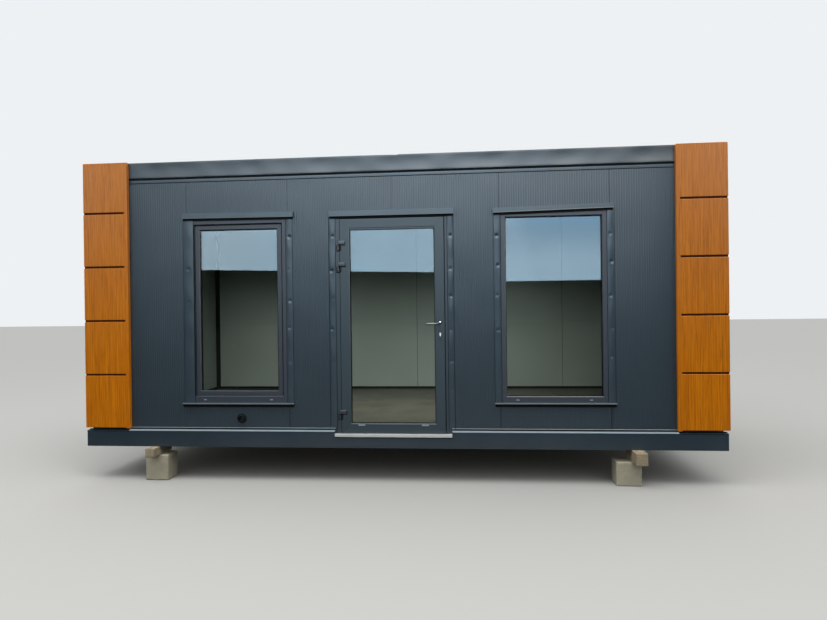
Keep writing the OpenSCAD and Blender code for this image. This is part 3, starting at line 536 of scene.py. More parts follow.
def fascia_sheet(start, end, behind, droop):
    """One folded sheet along X. Its face leans in by LEAN (1 + sines of x) sin of the height, and its
    end droops by a square law over DROOP_OVER metres."""
    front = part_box("front_fascia")[0][1]
    x = np.linspace(start, end, 96)
    outline = np.concatenate([fold_path(0.0, *FASCIA), fold_path(SHEET, *FASCIA)[::-1]])
    section = np.repeat(outline[None], len(x), 0)
    share = (outline[:, 1] - FASCIA[0]) / (FASCIA[1] - FASCIA[0])
    held = np.sin(np.pi * share) * (outline[:, 0] < 0.004)
    lean = 1 + 0.4 * np.sin(x * 8.3 + 0.6) + 0.3 * np.sin(x * 19.1 + 2.0)
    section[..., 0] += LEAN * lean[:, None] * held + behind
    sink = droop * np.clip((x - end + DROOP_OVER) / DROOP_OVER, 0, 1) ** 2
    section[..., 1] -= sink[:, None] * share
    origins = np.column_stack([x, np.full(len(x), front), np.zeros(len(x))])
    return sweep(section, origins, [[0, 1, 0]] * len(x), [[0, 0, 1]] * len(x))


low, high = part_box("front_fascia")
sheets = joined([
    fascia_sheet(low[0], LAP_X + LAP, SHEET + 0.0003, 0.004),
    fascia_sheet(LAP_X, high[0], 0.0, 0.0),
])
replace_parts(piece("fascia_sheets", sheets, "cabin", fascia_paint), "front_fascia")

# %% [markdown]
# Rubber, and the black tapes, beads and strips that are painted shade under flashings and sills,
# beside strips and in gaps, are all black and dull. They are worth a material of their own, because
# thin black lines are what sets every part of the front off from the next. A low index of
# refraction keeps the sky off them; the extruded trims in the room are duller still.

# %% Black rubber
rubber = mottled("epdm_rubber", 30.0, "#050607", "#0B0C0D", Roughness=0.7, IOR=1.18)
matt_black = mottled(
    "matt_black_extruded_trim", 20.0, "#0A0B0B", "#121312", Roughness=0.9, Specular_IOR_Level=0.08
)
wear(rubber, "window_spacers", "door_spacer")

# %% [markdown]
# A head flashing falls away from the wall, drops over the frame and kicks out at its foot, so that
# water drips clear. The kick faces the sky and shows as a bright line, and under it is a band of
# black tape that is painted shadow: it stands for the dark gap and shade under the kick. They were
# fitted by eye: the left one's left end hangs 7 mm low, and the right one slopes the other way. All
# three are separate solids inside one CAD node. They are told apart by passing labels from triangle
# to triangle until nothing changes.

# %% Separate solids in one node
def solids_of(name):
    """Boxes (low, high) of the separate solids in a CAD node, from left to right and from low to
    high. Corners at the same place share a label, and triangles spread the smallest label."""
    mesh = nodes[name].data
    points = np.empty(len(mesh.vertices) * 3)
    mesh.vertices.foreach_get("co", points)
    corners = np.empty(len(mesh.loops), int)
    mesh.loops.foreach_get("vertex_index", corners)
    spots, spot = np.unique(points.reshape(-1, 3).round(6), axis=0, return_inverse=True)
    triangles = spot.ravel()[corners].reshape(-1, 3)
    label = np.arange(len(spots))
    while True:
        lowest = label.copy()
        np.minimum.at(lowest, triangles, label[triangles].min(1)[:, None])
        if (lowest == label).all():
            break
        label = lowest
    boxes = [(spots[label == one].min(0), spots[label == one].max(0)) for one in np.unique(label[triangles])]
    return sorted(boxes, key=lambda b: b[0].round(3).tolist())


print(len(solids_of("head_flashings")), "head flashings")

# %% [markdown]
# The section of a flashing is ten points, written as outwards and height, and it is carried along the
# opening. Each flashing gets its own two end heights.

# %% Head flashings
LIFT = 0.0052
RIGHT_LIFT = 0.0088
HANG = ((0.0, -0.007), (0.0, 0.0), (-0.018, 0.003))
# Size of the black tape under the head flashings, which is painted shadow.
SHADOW_TAPE = (0.014, 0.018)


def head_outline(out, height, sheet=0.002):
    """Section of a head flashing as (outwards, height): short slope, upright drop, kick, back inside."""
    face = out - 0.0075
    return np.array([
        (0, height), (face - 0.0010, height - 0.0030), (face, height - 0.0042), (face + 0.0006, 0.0070),
        (out - 0.0004, 0.0008), (out, 0.0002), (out - 0.0012, -0.0004), (face - sheet, 0.0052),
        (face - sheet, height - 0.0058), (0, height - sheet),
    ])


flashing_parts = []
shadow_tape_parts = []
for number, (low, high) in enumerate(solids_of("head_flashings")):
    low[2] += LIFT + (RIGHT_LIFT if number == 2 else 0.0)
    left, right = HANG[number]
    outline = head_outline(high[1] - low[1], high[2] + LIFT - low[2])
    # Black bar under each flashing: painted shadow under its kick.
    bar = np.array([(0, -SHADOW_TAPE[1]), (SHADOW_TAPE[0], -SHADOW_TAPE[1]), (SHADOW_TAPE[0], 0.008), (0, 0.008)])
    for parts, section, inset in ((flashing_parts, outline, 0.0), (shadow_tape_parts, bar, 0.006)):
        ends = (low[0] + inset, high[1], low[2] + left), (high[0] - inset, high[1], low[2] + right)
        parts.append(straight(section, *ends, (0, -1, 0)))
heads = piece("kicked_head_flashings", joined(flashing_parts), "cabin", flashing_paint)
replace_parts(heads, "head_flashings")

# %% [markdown]
# A sill is a thin slope that ends in a lip. Only the slope sees the sky, and its paler paint adds a
# painted sheen, so a sill is one bright line over a dark one; under it stands a black tape that is
# painted shadow.

# %% Window sills
SILL_LIFT = {"left": 0.003, "right": 0.008}

sill_parts = []
for low, high in solids_of("window_sills"):
    low[2] += SILL_LIFT["left" if low[0] < 0 else "right"]
    out = high[1] - low[1]
    slope = np.array([
        (0, 0.0250), (out - 0.003, 0.0208), (out - 0.0008, 0.0203), (out, 0.0192), (out, 0.0162),
        (out - 0.0012, 0.0158), (out - 0.0014, 0.0182), (out - 0.004, 0.0192), (0, 0.0232),
    ])
    # Black bar under each sill: painted shadow under its lip.
    bar = np.array([(0, -0.012), (0.012, -0.012), (0.022, 0.0185), (0, 0.0185)])
    for parts, section, inset in ((sill_parts, slope, 0.0), (shadow_tape_parts, bar, 0.004)):
        ends = (low[0] + inset, high[1], low[2]), (high[0] - inset, high[1], low[2])
        parts.append(straight(section, *ends, (0, -1, 0)))
sills = piece("lipped_sills", joined(sill_parts), "cabin", sill_paint_painted_sheen)
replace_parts(sills, "window_sills")
piece("painted_shadow_tapes", joined(shadow_tape_parts), "cabin", rubber)

# %% [markdown]
# The strips beside the openings are riveted on, and each rivet has pulled the thin sheet in while
# the sheet between them springs out. Those dents are what the eye finds first on a plain wall, and
# the upper rivets have pulled hardest. Each strip is a grid in width and height: it bulges out in a
# slow wave, and goes in by a bell curve round each rivet and a longer trough below it. The rivets
# are domes, half ellipsoids on a flat foot.

# %% The dented face and the domes
BULGE = 0.0032
DENT = 0.0056
DENT_WIDTH = 0.010
TROUGH = 0.0014
print("strips bulge", BULGE * 1000, "mm and dent", DENT * 1000, "mm")


def strip_shape(x, z, spots, low, high):
    """How far the face lies behind its flat plane: less a bulge, which is a sine across the strip,
    more a bell at each rivet, DENT pull exp(-r^2 / 2 w^2), and a longer, shallow one below it."""
    across = np.clip((x - low) / (high - low), 0, 1)
    depth = -BULGE * np.sin(np.pi * across) ** 0.8 * (0.75 + 0.25 * np.sin(z * 21.6 + low * 9))
    for spot_x, spot_z, pull in spots:
        beside = (x - spot_x) ** 2
        depth = depth + DENT * pull * np.exp(-(beside + (z - spot_z) ** 2) / (2 * DENT_WIDTH ** 2))
        trough = np.exp(-beside / (2 * DENT_WIDTH ** 2) - (z - spot_z + 0.045) ** 2 / (2 * 0.028 ** 2))
        depth = depth + TROUGH * pull * trough
    return depth


def dome(centre, radius, height, facing, sides=16, rings=5):
    """Half an ellipsoid on a flat foot: ring k has the radius r cos t and the height h sin t."""
    facing = np.asarray(facing, float)
    across = np.cross(facing, (0.3, 0.5, 0.8))
    across /= np.linalg.norm(across)
    t = np.linspace(0, np.pi / 2, rings)
    turn = np.linspace(0, 2 * np.pi, sides, endpoint=False)
    circle = np.column_stack([np.cos(turn), np.sin(turn)])
    section = circle[None] * (radius * np.cos(t) + 1e-7)[:, None, None]
    origins = np.asarray(centre) + facing * (height * np.sin(t))[:, None]
    return sweep(section, origins, [across] * rings, [np.cross(facing, across)] * rings)

# %% [markdown]
# With both helpers each strip is its face, its rivets, and a black line along both edges that is
# painted shade of the gap beside it. Rivets sit about every 0.29 m, a little out of line, as they
# were drilled by hand.

# %% Jamb strips, rivets and sealant
RIVET_PITCH = 0.29
TOP_RIVET = 0.24
BEND = 0.0006
DOOR_STRIP_EDGE = -0.540


def shade_edge_bead(x, low_z, high_z, face):
    """A black half-round line 4 mm wide, upright at x on the wall's face: painted shade at a strip's edge."""
    t = np.linspace(0, np.pi, 7)
    outline = np.column_stack([0.0022 * np.cos(t), 0.0036 * np.sin(t)])
    return straight(outline, (x, face, low_z), (x, face, high_z), (1, 0, 0), (0, -1, 0))


strip_parts = []
rivet_parts = []
shade_bead_parts = []
for number, (low, high) in enumerate(solids_of("jamb_strips")):
    left, right = low[0], DOOR_STRIP_EDGE if number == 2 else high[0]
    middle = (left + right) / 2
    across = np.linspace(left, right, 19)[1:-1]
    z = np.linspace(low[2], high[2], 240)
    step = np.arange(int((high[2] - low[2] - 0.3) / RIVET_PITCH) + 1)
    heights = high[2] - TOP_RIVET - RIVET_PITCH * step + 0.02 * np.sin(step * 2.3 + number)
    pulls = (0.25 + 0.75 * np.abs(np.sin(step * 1.9 + number * 1.3))) * np.linspace(1.0, 0.3, len(step))
    pulls *= 0.45 if number == 0 else 1.0
    spots = list(zip(middle + 0.006 * np.sin(3.1 * step + number), heights, pulls))
    face_x = np.concatenate([[left, left, left + BEND], across, [right - BEND, right, right]])
    face_y = np.concatenate([[high[1], low[1] + BEND, low[1]], np.full(17, low[1]),
                             [low[1], low[1] + BEND, high[1]]])
    grid_x, grid_z = np.meshgrid(face_x, z)
    hold = np.clip(np.minimum(grid_x - left, right - grid_x) / 0.006, 0, 1)
    section = np.stack([grid_x, face_y + strip_shape(grid_x, grid_z, spots, left, right) * hold], -1)
    rise = np.column_stack([z * 0, z * 0, z])
    strip_parts.append(sweep(section, rise, [[1, 0, 0]] * len(z), [[0, 1, 0]] * len(z)))
    for spot_x, spot_z, pull in spots:
        seat = low[1] - BULGE * 0.8 + DENT * pull + 0.0004
        rivet_parts.append(dome((spot_x, seat, spot_z), 0.0042, 0.0010, (0, -1, 0), sides=12, rings=4))
    shade_bead_parts += [shade_edge_bead(x, low[2], high[2], high[1]) for x in (left - 0.0012, right + 0.0012)]

strips = piece("riveted_strips", joined(strip_parts), "cabin", strip_paint)
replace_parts(strips, "jamb_strips")
piece("strip_rivets", joined(rivet_parts), "cabin", strip_paint)
piece("strip_edge_shade_lines", joined(shade_bead_parts), "cabin", rubber)

# %% [markdown]
# Long thin profiles run round the walls from one corner's cassettes to the next. Under the fascia
# there is a narrow trim, and above it a black strip that is painted shade of the gap. At the foot a
# drip edge with a rounded nose draws a pale line, a painted highlight, then a black strip in the
# rebate is painted shade, and then comes the sloping ledge that throws the water off the base.
# They are sections carried along the same runs, so one function carries any section round. In front
# the lower ones stop at the door's threshold, and the drip edge stands further out where it crosses
# the strips beside the door.

# %% Profiles round the walls
wall_low, wall_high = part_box("front_wall_left")
tray_low, tray_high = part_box("front_right_cladding")
left_strip, right_strip = solids_of("jamb_strips")[2:4]
FACE_Y, FACE_X = wall_low[1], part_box("right_wall")[1][0]
END_X, END_Y = tray_low[0], -tray_high[1]
DOORWAY = (wall_high[0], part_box("front_wall_right")[0][0])
DRIP_Z = 0.5035


def round_walls(outline, z, door_gap):
    """Carries a section (outwards, height) along all four walls at the height z, in five runs: the
    front ones stop at the doorway when there is a door gap, and meet if not."""
    stops = DOORWAY if door_gap else (0.0, 0.0)
    runs = [
        ((-END_X, FACE_Y), (stops[0], FACE_Y), (0, -1, 0)), ((stops[1], FACE_Y), (END_X, FACE_Y), (0, -1, 0)),
        ((-END_X, -FACE_Y), (END_X, -FACE_Y), (0, 1, 0)), ((FACE_X, -END_Y), (FACE_X, END_Y), (1, 0, 0)),
        ((-FACE_X, -END_Y), (-FACE_X, END_Y), (-1, 0, 0)),
    ]
    return joined([straight(outline, (*start, z), (*end, z), outward) for start, end, outward in runs])


upper = quarter(6, 0)[::-1] * (0.0030, 0.0030)
lower = quarter(6, 270)[::-1] * (0.0030, 0.0040)
nose = np.concatenate([[(-0.0005, 0.0030)], upper[1:], lower[1:-1], [(-0.0005, -0.0040)]])
deep_nose = nose + (nose > 0.0001) * (0.0045, 0.0)
drips = [round_walls(nose, DRIP_Z, True)]
for start, end in ((left_strip[0][0], DOORWAY[0]), (DOORWAY[1], right_strip[1][0])):
    drips.append(straight(deep_nose, (start, FACE_Y, DRIP_Z), (end, FACE_Y, DRIP_Z), (0, -1, 0)))
# The drip edges wear the pale ledge paint: a painted highlight on their nose.
piece("drip_edges", joined(drips), "cabin", ledge_paint_painted_sheen)
trim = np.array([(0.0002, 0.880), (0.0040, 0.880), (0.0042, 0.882), (0.0036, 0.9060), (0.0002, 0.9064)])
trims = piece("shadow_gap_trims", round_walls(trim, 2.0, False), "cabin", strip_paint)
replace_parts(trims, "wall_top_trims")
# Black strip in the gap under the fascia: painted shade.
gap = np.array([(0.0002, 0.8745), (0.0016, 0.8745), (0.0016, 0.9300), (0.0002, 0.9300)])
piece("painted_shade_gap_strip", round_walls(gap, 2.0, False), "cabin", rubber)
# Black strip in the rebate at the wall's foot: painted shade.
rebate = np.array([
    (-0.0005, 0.4985), (0.0040, 0.4985), (0.0300, 0.4925), (0.0300, 0.4865), (-0.0005, 0.4865),
])
piece("painted_shade_rebate_strips", round_walls(rebate, 0.0, True), "cabin", rubber)

# %% [markdown]
# The ledge is a folded sheet with a turned-down edge, in the pale paint that is a painted sheen.
# Under the cassettes it is covered by a dark matt sheet, painted shade that stands for the
# cassettes' shadow, so the pale line stops at the cladding.

# %% Ledges
LEDGE = (0.496, 0.486, 0.480)
DEPTH = {"long": 0.060, "end": 0.025}


def ledge_section(depth, drop=0.0):
    """Slope from the wall to the edge, rounded nose, lip down and back inside, as (out, height)."""
    top, front, foot = (z - drop for z in LEDGE)
    arc = quarter(5, 0)[::-1] * 0.0018 + (depth - 0.0018, front - 0.0018)
    inside = [(depth, foot), (depth - 0.0015, foot), (depth - 0.0015, front - 0.003), (0, top - 0.003)]
    return np.concatenate([[(0, top)], arc, inside])


ledges, shade_sheets = [], []
edge_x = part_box("ledge_flashings")[1][0]
for side in (-1, 1):
    y = side * -FACE_Y
    stops = DOORWAY if side < 0 else (0.0, 0.0)
    x = side * FACE_X
    long_ledge, end_ledge = ledge_section(DEPTH["long"]), ledge_section(DEPTH["end"])
    ledges.append(straight(long_ledge, (-END_X, y, 0), (stops[0], y, 0), (0, side, 0)))
    ledges.append(straight(long_ledge, (stops[1], y, 0), (END_X, y, 0), (0, side, 0)))
    ledges.append(straight(end_ledge, (x, -END_Y, 0), (x, END_Y, 0), (side, 0, 0)))
    for end in (-1, 1):
        # Dark matt sheets over the ledge under the cassettes: painted shade.
        shade_covers = ledge_section(DEPTH["long"] - 0.002, 0.006), ledge_section(DEPTH["end"] - 0.002, 0.0065)
        line = (end * END_X, y, 0), (end * edge_x, y, 0)
        shade_sheets.append(straight(shade_covers[0], *line, (0, side, 0)))
        line = (x, end * END_Y, 0), (x, end * -FACE_Y, 0)
        shade_sheets.append(straight(shade_covers[1], *line, (side, 0, 0)))
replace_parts(piece("folded_ledges", joined(ledges), "cabin", ledge_paint_painted_sheen), "ledge_flashings")
piece("painted_shade_corner_ledges", joined(shade_sheets), "cabin", matt_black)

# %% [markdown]
# ## Base frame and supports
#
# The base is folded from 5 mm steel and sprayed, not coil-coated, so its film is thicker and a
# little uneven, with dust on it near the ground. The posts and cross members are hidden behind the
# walls and under the floor, with primer only.

# %% Sprayed base steel
base_paint, tree, shader, place = finish_of("sprayed_base_steel", IOR=1.5)
axis = node(tree, "SeparateXYZ", (place,)).node.outputs
cloud = node(tree, "TexNoise", (place, 3.0, 6.0, 0.65))
low = node(tree, "MapRange", (axis[2], 0.48, 0.33))
dust = node(tree, "Math", (low, cloud), operation="MULTIPLY")
film = node(tree, "Mix", (cloud, "#15212A", "#1B2831"), data_type="RGBA")
peel = node(tree, "TexNoise", (place, 180.0, 2.0))
fill(shader, {
    "Base Color": node(tree, "Mix", (dust, film, "#2C3337"), data_type="RGBA"),
    "Roughness": node(tree, "MapRange", (cloud, 0.0, 1.0, 0.28, 0.40)),
    "Normal": node(tree, "Bump", {"Distance": 0.00012, "Height": peel}),
})
wear(base_paint, "base_front_rail", "base_rear_rail", "base_left_rail", "base_right_rail")

# %% [markdown]
# Posts, cross members and roof beams get the grey primer that steel leaves the works with. The roof is
# coated like the walls, only paler, so that it stays cooler in the sun.

# %% Primer and roof
primer = folded_sheet("primed_steel", "#2B2F31", "#383C3E", 20.0, 0.7)
wear(primer, "cross_members", "corner_posts", "roof_front_beam", "roof_rear_beam", "roof_left_beam",
     "roof_right_beam")
roof_paint = folded_sheet("coil_coated_roof_sheet", "#868C8B", "#959A98", 30.0, 0.5)
wear(roof_paint, "roof_panel")

# %% [markdown]
# The floor is plywood with a vinyl sheet on top. It is one solid, so the height decides: vinyl on the
# upper face, ply below it. The vinyl is darker in patches, more of them towards the rear, because
# that part is what shows through the glass.

# %% Floor
VINYL_FROM = 0.5035

floor_board, tree, shader, place = finish_of("floor_board_with_vinyl", Roughness=0.5)
axis = node(tree, "SeparateXYZ", (place,)).node.outputs
grain_map = node(tree, "Mapping", {"Vector": place, "Scale": (3.0, 60.0, 60.0)})
grain = node(tree, "TexNoise", (grain_map, 1.0, 6.0, 0.6))
vinyl = node(tree, "Mix", (grain, "#6C6554", "#847B69"), data_type="RGBA")
dark_patches = node(tree, "TexNoise", (place, 2.6, 7.0, 0.65))
dark_patches = node(tree, "MapRange", (dark_patches, 0.42, 0.62))
rear = node(tree, "MapRange", (axis[1], -0.9, 1.2))
dark_patches = node(tree, "Math", (dark_patches, 0.55, rear), operation="MULTIPLY_ADD", use_clamp=True)
vinyl = node(tree, "Mix", (dark_patches, vinyl, "#3E3A31"), data_type="RGBA")
ply = node(tree, "Mix", (grain, "#7B6143", "#9C8260"), data_type="RGBA")
top = node(tree, "Math", (axis[2], VINYL_FROM), operation="GREATER_THAN")
fill(shader, {
    "Base Color": node(tree, "Mix", (top, ply, vinyl), data_type="RGBA"),
    "Normal": node(tree, "Bump", {"Strength": 0.5, "Distance": 0.0003, "Height": grain}),
})
wear(floor_board, "floor_deck")

# %% [markdown]
# ## Wood-look cassettes
#
# The corners are dressed with steel trays whose face is laminated with a printed film in golden oak.
# The print has upright grain: dark pores a few millimetres wide that run for a hand's length, over
# broader bands. Two stretched noises give both: their scale across the grain is large, along it
# small. The film itself is smooth and satin, so the grain is colour with hardly any relief.

# %% Golden oak film
oak, tree, shader, place = finish_of("golden_oak_film_on_steel", IOR=1.38)
broad_map = node(tree, "Mapping", {"Vector": place, "Scale": (78.0, 78.0, 0.7)})
broad = node(tree, "TexNoise", (broad_map, 1.0, 3.0, 0.6))
pore_map = node(tree, "Mapping", {"Vector": place, "Scale": (260.0, 260.0, 3.5)})
pore = node(tree, "TexNoise", (pore_map, 1.0, 4.0, 0.7))
band = node(tree, "MapRange", (broad, 0.30, 0.70))
line = node(tree, "MapRange", (pore, 0.49, 0.62, 0.0, 0.75))
wood = node(tree, "Mix", (band, "#B06000", "#D27C00"), data_type="RGBA")
height = node(tree, "SeparateXYZ", (place,)).node.outputs[2]
# Towards the top the oak turns paler and duller: a painted sheen of the sky on the upper trays.
painted_sheen_top = node(tree, "MapRange", (height, 1.2, 2.9, 0.0, 0.5))
wood = node(tree, "Mix", (painted_sheen_top, wood, "#A46C38"), data_type="RGBA")
fill(shader, {
    "Base Color": node(tree, "Mix", (line, wood, "#824202"), data_type="RGBA"),
    "Roughness": node(tree, "MapRange", (pore, 0.0, 1.0, 0.24, 0.36)),
    "Normal": node(tree, "Bump", {"Strength": 0.4, "Distance": 0.0002, "Height": pore}),
})
wear(oak, "cladding_edge_trims")

# %% [markdown]
# Behind the cassettes is steel primed in a dark brown, and strips of nearly the same brown close the
# open joints from behind. Both colours are painted shade: the tone of the oak film in the slots'
# shadow. They are nearly matt.

# %% Carriers and joint strips
carrier_painted_shade = folded_sheet("dark_brown_carrier_steel_painted_shade", "#2E180B", "#3C2010", 10.0, 0.7)
wear(carrier_painted_shade, "cladding_carriers")
joint_shade_coat = mottled(
    "dark_brown_joint_steel_painted_shade", 12.0, "#2A0E04", "#3C1808", Roughness=0.8, Specular_IOR_Level=0.1
)

# %% [markdown]
# Each cassette is a tray: a flat face with its edges folded back 10 mm over a radius of 3 mm, and it
# is bent once more round the cabin's corner. The soft folds matter, because they catch a thin line
# of light along every edge. The tray's section goes from its lower return over the face to its upper
# return, and it is carried along an L-shaped path round the corner. At the corner the path follows
# a small arc, and the tray's back meets in one point, which a mitre does.

# %% Section and path of a tray
MODULE = 0.5225
SLOT = 0.019
SETTLE = 0.009
BEHIND = 0.005
TRAY = 0.010
FOLD = 0.003


def tray_section(low, high):
    """Closed section (depth, height) of a tray between two heights, with its folds rounded."""
    foot = quarter(5, 180) * FOLD + (FOLD, low + FOLD)
    head = quarter(5, 90) * FOLD + (FOLD, high - FOLD)
    flat = [(0.0, low + FOLD + 0.0015), (0.0, high - FOLD - 0.0015)]
    return np.concatenate([[(TRAY, low)], foot[::-1], flat, head[::-1], [(TRAY, high)]])


def corner_path(corner, inner, side):
    """Stations of an L round a corner with an arc of radius FOLD: places and the way back, scaled
    so that TRAY metres back along it is the mitred inside."""
    sx, sy = side
    cx, cy = corner
    arc = quarter(5, 0) * FOLD
    bend = np.array([cx - FOLD, cy - FOLD]) + arc
    spots = np.concatenate([[(cx, inner[1])], bend, [(inner[0], cy)]])
    hearts = np.concatenate([[(cx - TRAY, inner[1])], np.repeat([[cx - TRAY, cy - TRAY]], 5, 0),
                             [(inner[0], cy - TRAY)]])
    back = (hearts - spots) / TRAY
    flip = np.array([sx, sy])
    zero = np.zeros((len(spots), 1))
    return np.hstack([spots * flip, zero]), np.hstack([back * flip, zero])


print("a tray's section has", len(tray_section(0.0, 0.5)), "points")

# %% [markdown]
# Five trays stand on each other with open slots between them, and a cap closes the top. The slots'
# heights come from one module, less the few millimetres by which the trays have settled.

# %% Trays of a corner
def corner_trays(side):
    """Five stacked trays and the cap of one corner, from the sizes of its CAD solid."""
    low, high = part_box("front_right_cladding")
    face = np.array([high[0], -low[1]])
    inner = np.array([low[0], -high[1]])
    spots, back = corner_path(face, inner, side)
    rise = np.repeat([[0.0, 0.0, 1.0]], len(spots), 0)
    parts = []
    for k in range(5):
        foot = low[2] + (k * MODULE + SLOT / 2 - SETTLE if k else 0)
        head = min(low[2] + (k + 1) * MODULE - SLOT / 2 - SETTLE, high[2])
        parts.append(sweep(tray_section(foot, head), spots, back, rise))
    room = np.array(ROOM)
    edge = face - 0.009
    plan = np.array([(inner[0], edge[1]), edge, (edge[0], inner[1]), (room[0], inner[1]), room,
                     (inner[0], room[1])]) * side
    cap_z = np.array([[0, 0, high[2] - 0.003], [0, 0, high[2] - 0.0002]])
    parts.append(sweep(plan, cap_z, [[1, 0, 0]] * 2, [[0, 1, 0]] * 2))
    return joined(parts)


print("five trays and a cap for each corner, slots", SLOT * 1000, "mm")

# %% [markdown]
# The strips behind the open slots are four rectangles carried along the same path. They sit between
# the folded edges and the carriers, so the eye meets dark brown steel, painted shade, there and not
# the wall. One loop then dresses the four corners.

# %% Strips behind the joints, and the four corners
def joint_shade_strips(side):
    """Four upright strips behind one corner's open joints, dark brown as painted shade: a rectangle along the
    corner's path.
    """
    low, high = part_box("front_right_cladding")
    spots, back = corner_path(np.array([high[0], -low[1]]), np.array([low[0], -high[1]]), side)
    rise = np.repeat([[0.0, 0.0, 1.0]], len(spots), 0)
    strips = []
    for k in range(1, 5):
        middle = low[2] + k * MODULE - SETTLE
        foot = middle - SLOT / 2 - 0.002
        head = middle + SLOT / 2 + 0.002
        section = np.array([(BEHIND, foot), (BEHIND, head), (TRAY - 0.0006, head), (TRAY - 0.0006, foot)])
        strips.append(sweep(section, spots, back, rise))
    return joined(strips)


CORNERS = {"front_left": (-1, -1), "front_right": (1, -1), "rear_left": (-1, 1), "rear_right": (1, 1)}
for name, signs in CORNERS.items():
    side = np.array(signs)
    trays = piece(name + "_trays", corner_trays(side), "cabin", oak)
    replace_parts(trays, name + "_cladding")
    piece(name + "_joint_shade_strips", joint_shade_strips(side), "cabin", joint_shade_coat)

# %% [markdown]
# ## Plastic frames
#
# The door and windows are welded from hollow PVC profiles. A foil in anthracite with a hint of
# purple is laminated on them, and it is embossed with a fine grain that makes it matt. The small
# parts on them are moulded or powder coated, and are told apart by their gloss.

# %% PVC foil and coatings
def foil_on_pvc(name, dark, pale):
    """Embossed foil: a tone between two colours and a fine grain, 2 mm wide and 7 mm high."""
    material, tree, shader, place = finish_of(name, Roughness=0.40, IOR=1.5)
    emboss_map = node(tree, "Mapping", {"Vector": place, "Scale": (420.0, 420.0, 140.0)})
    emboss = node(tree, "TexNoise", (emboss_map, 1.0, 3.0))
    tone = node(tree, "TexNoise", (place, 1.5, 4.0))
    fill(shader, {
        "Base Color": node(tree, "Mix", (tone, dark, pale), data_type="RGBA"),
        "Normal": node(tree, "Bump", {"Strength": 0.5, "Distance": 0.0002, "Height": emboss}),
    })
    return material


foil = foil_on_pvc("anthracite_foil_on_pvc", "#181D23", "#20252C")
door_foil = foil_on_pvc("anthracite_foil_on_door_pvc", "#142127", "#1B282E")
wear(foil, "left_window_frame", "left_window_sash", "right_window_frame")
wear(door_foil, "door_frame", "door_leaf")

# %% [markdown]
# Injection-moulded plastic has a fine spark-eroded grain, and powder coat a fine orange peel. Both
# break a highlight up, each at its own size. The drain caps are plain grey plastic.

# %% Moulded and powder-coated parts
moulded = mottled(
    "moulded_black_plastic", 45.0, "#08090A", "#101113", grain=(900.0, 2.0, 0.5), Roughness=0.42, IOR=1.28
)
dark_coat = mottled(
    "powder_coated_dark_hardware", 70.0, "#14181C", "#1F2429", detail=3.0, grain=(500.0, 2.0, 0.6),
    Roughness=0.34, IOR=1.35,
)
cap_grey = mottled("moulded_grey_caps", 60.0, "#6E757D", "#8A9199", detail=3.0, Roughness=0.4, IOR=1.5)
wear(moulded, "service_outlet")
wear(cap_grey, "drain_caps", "door_drain_covers")

# %% [markdown]
# A rubber lip presses on each pane from both sides, and another closes the gap round each moving
# part. They draw the black line that sets the glass off from its frame. A lip is one small section
# carried round four corners. At a corner the section leans outwards both ways at once, which is a
# mitre, so the run closes without a gap.

# %% Rubber lips
GRIP = 0.0117


def rubber_ring(low, high, depth, outward, outline):
    """Carries an outline (outwards from the opening, outwards from the face) round the rectangle
    between low and high (x, z) at the depth y: P = corner + a (sx, 0, sz) + b (0, outward, 0)."""
    signs = np.array([(-1, -1), (1, -1), (1, 1), (-1, 1)])
    corner = np.where(signs > 0, high, low)
    origins = np.column_stack([corner[:, 0], np.full(4, depth), corner[:, 1]])
    across = np.column_stack([signs[:, 0], np.zeros(4), signs[:, 1]])
    return sweep(outline, origins, across, [[0, outward, 0]] * 4, closed=True)


def rounded_bead(inner, outer, height):
    """Outline of a bead that stands height above its face, with its top rounded."""
    middle, reach = (inner + outer) / 2, (outer - inner) / 2
    t = np.linspace(0, np.pi, 9)
    top = np.column_stack([middle + reach * np.cos(t), height * np.sin(t)])
    return np.concatenate([[(outer, -0.0004)], top, [(inner, -0.0004)]])


def pane_beads(glass_name, inset):
    """Both beads of one glazed opening, from the box of its glass."""
    low, high = (np.array(v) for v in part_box(glass_name))
    hole = low[[0, 2]] + inset, high[[0, 2]] - inset
    front = rubber_ring(*hole, low[1], -1, rounded_bead(-0.0050, 0.0004, 0.0050))
    back = rubber_ring(*hole, high[1], 1, rounded_bead(-0.0040, 0.0004, 0.0040))
    return joined([front, back])


beads = joined([pane_beads("left_window_glass", GRIP), pane_beads("right_window_glass", GRIP)])
piece("window_glazing_rubber", beads, "cabin", rubber)
piece("door_glazing_rubber", pane_beads("door_glass", GRIP), "door", rubber)

# %% [markdown]
# The sash closes on its frame with the same kind of lip, and the leaf on its own. Black lines on the
# frame along the sash's left and top, wider than the one on the right, are painted shade of the
# reveal. The leaf's lip reaches 7.8 mm past the leaf, partly a real lip and partly painted shade of
# the gap round the leaf; it begins 8.5 mm above its foot, to clear the threshold when the door swings.

# %% Lips of the sash and the leaf
LEAF_FOOT = 0.0085

sash_low, sash_high = (np.array(v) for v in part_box("left_window_sash"))
lip = rounded_bead(-0.0055, 0.0002, 0.0025)
sash_ring = rubber_ring(sash_low[[0, 2]], sash_high[[0, 2]], sash_low[1], -1, lip)
frame_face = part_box("left_window_frame")[0][1]
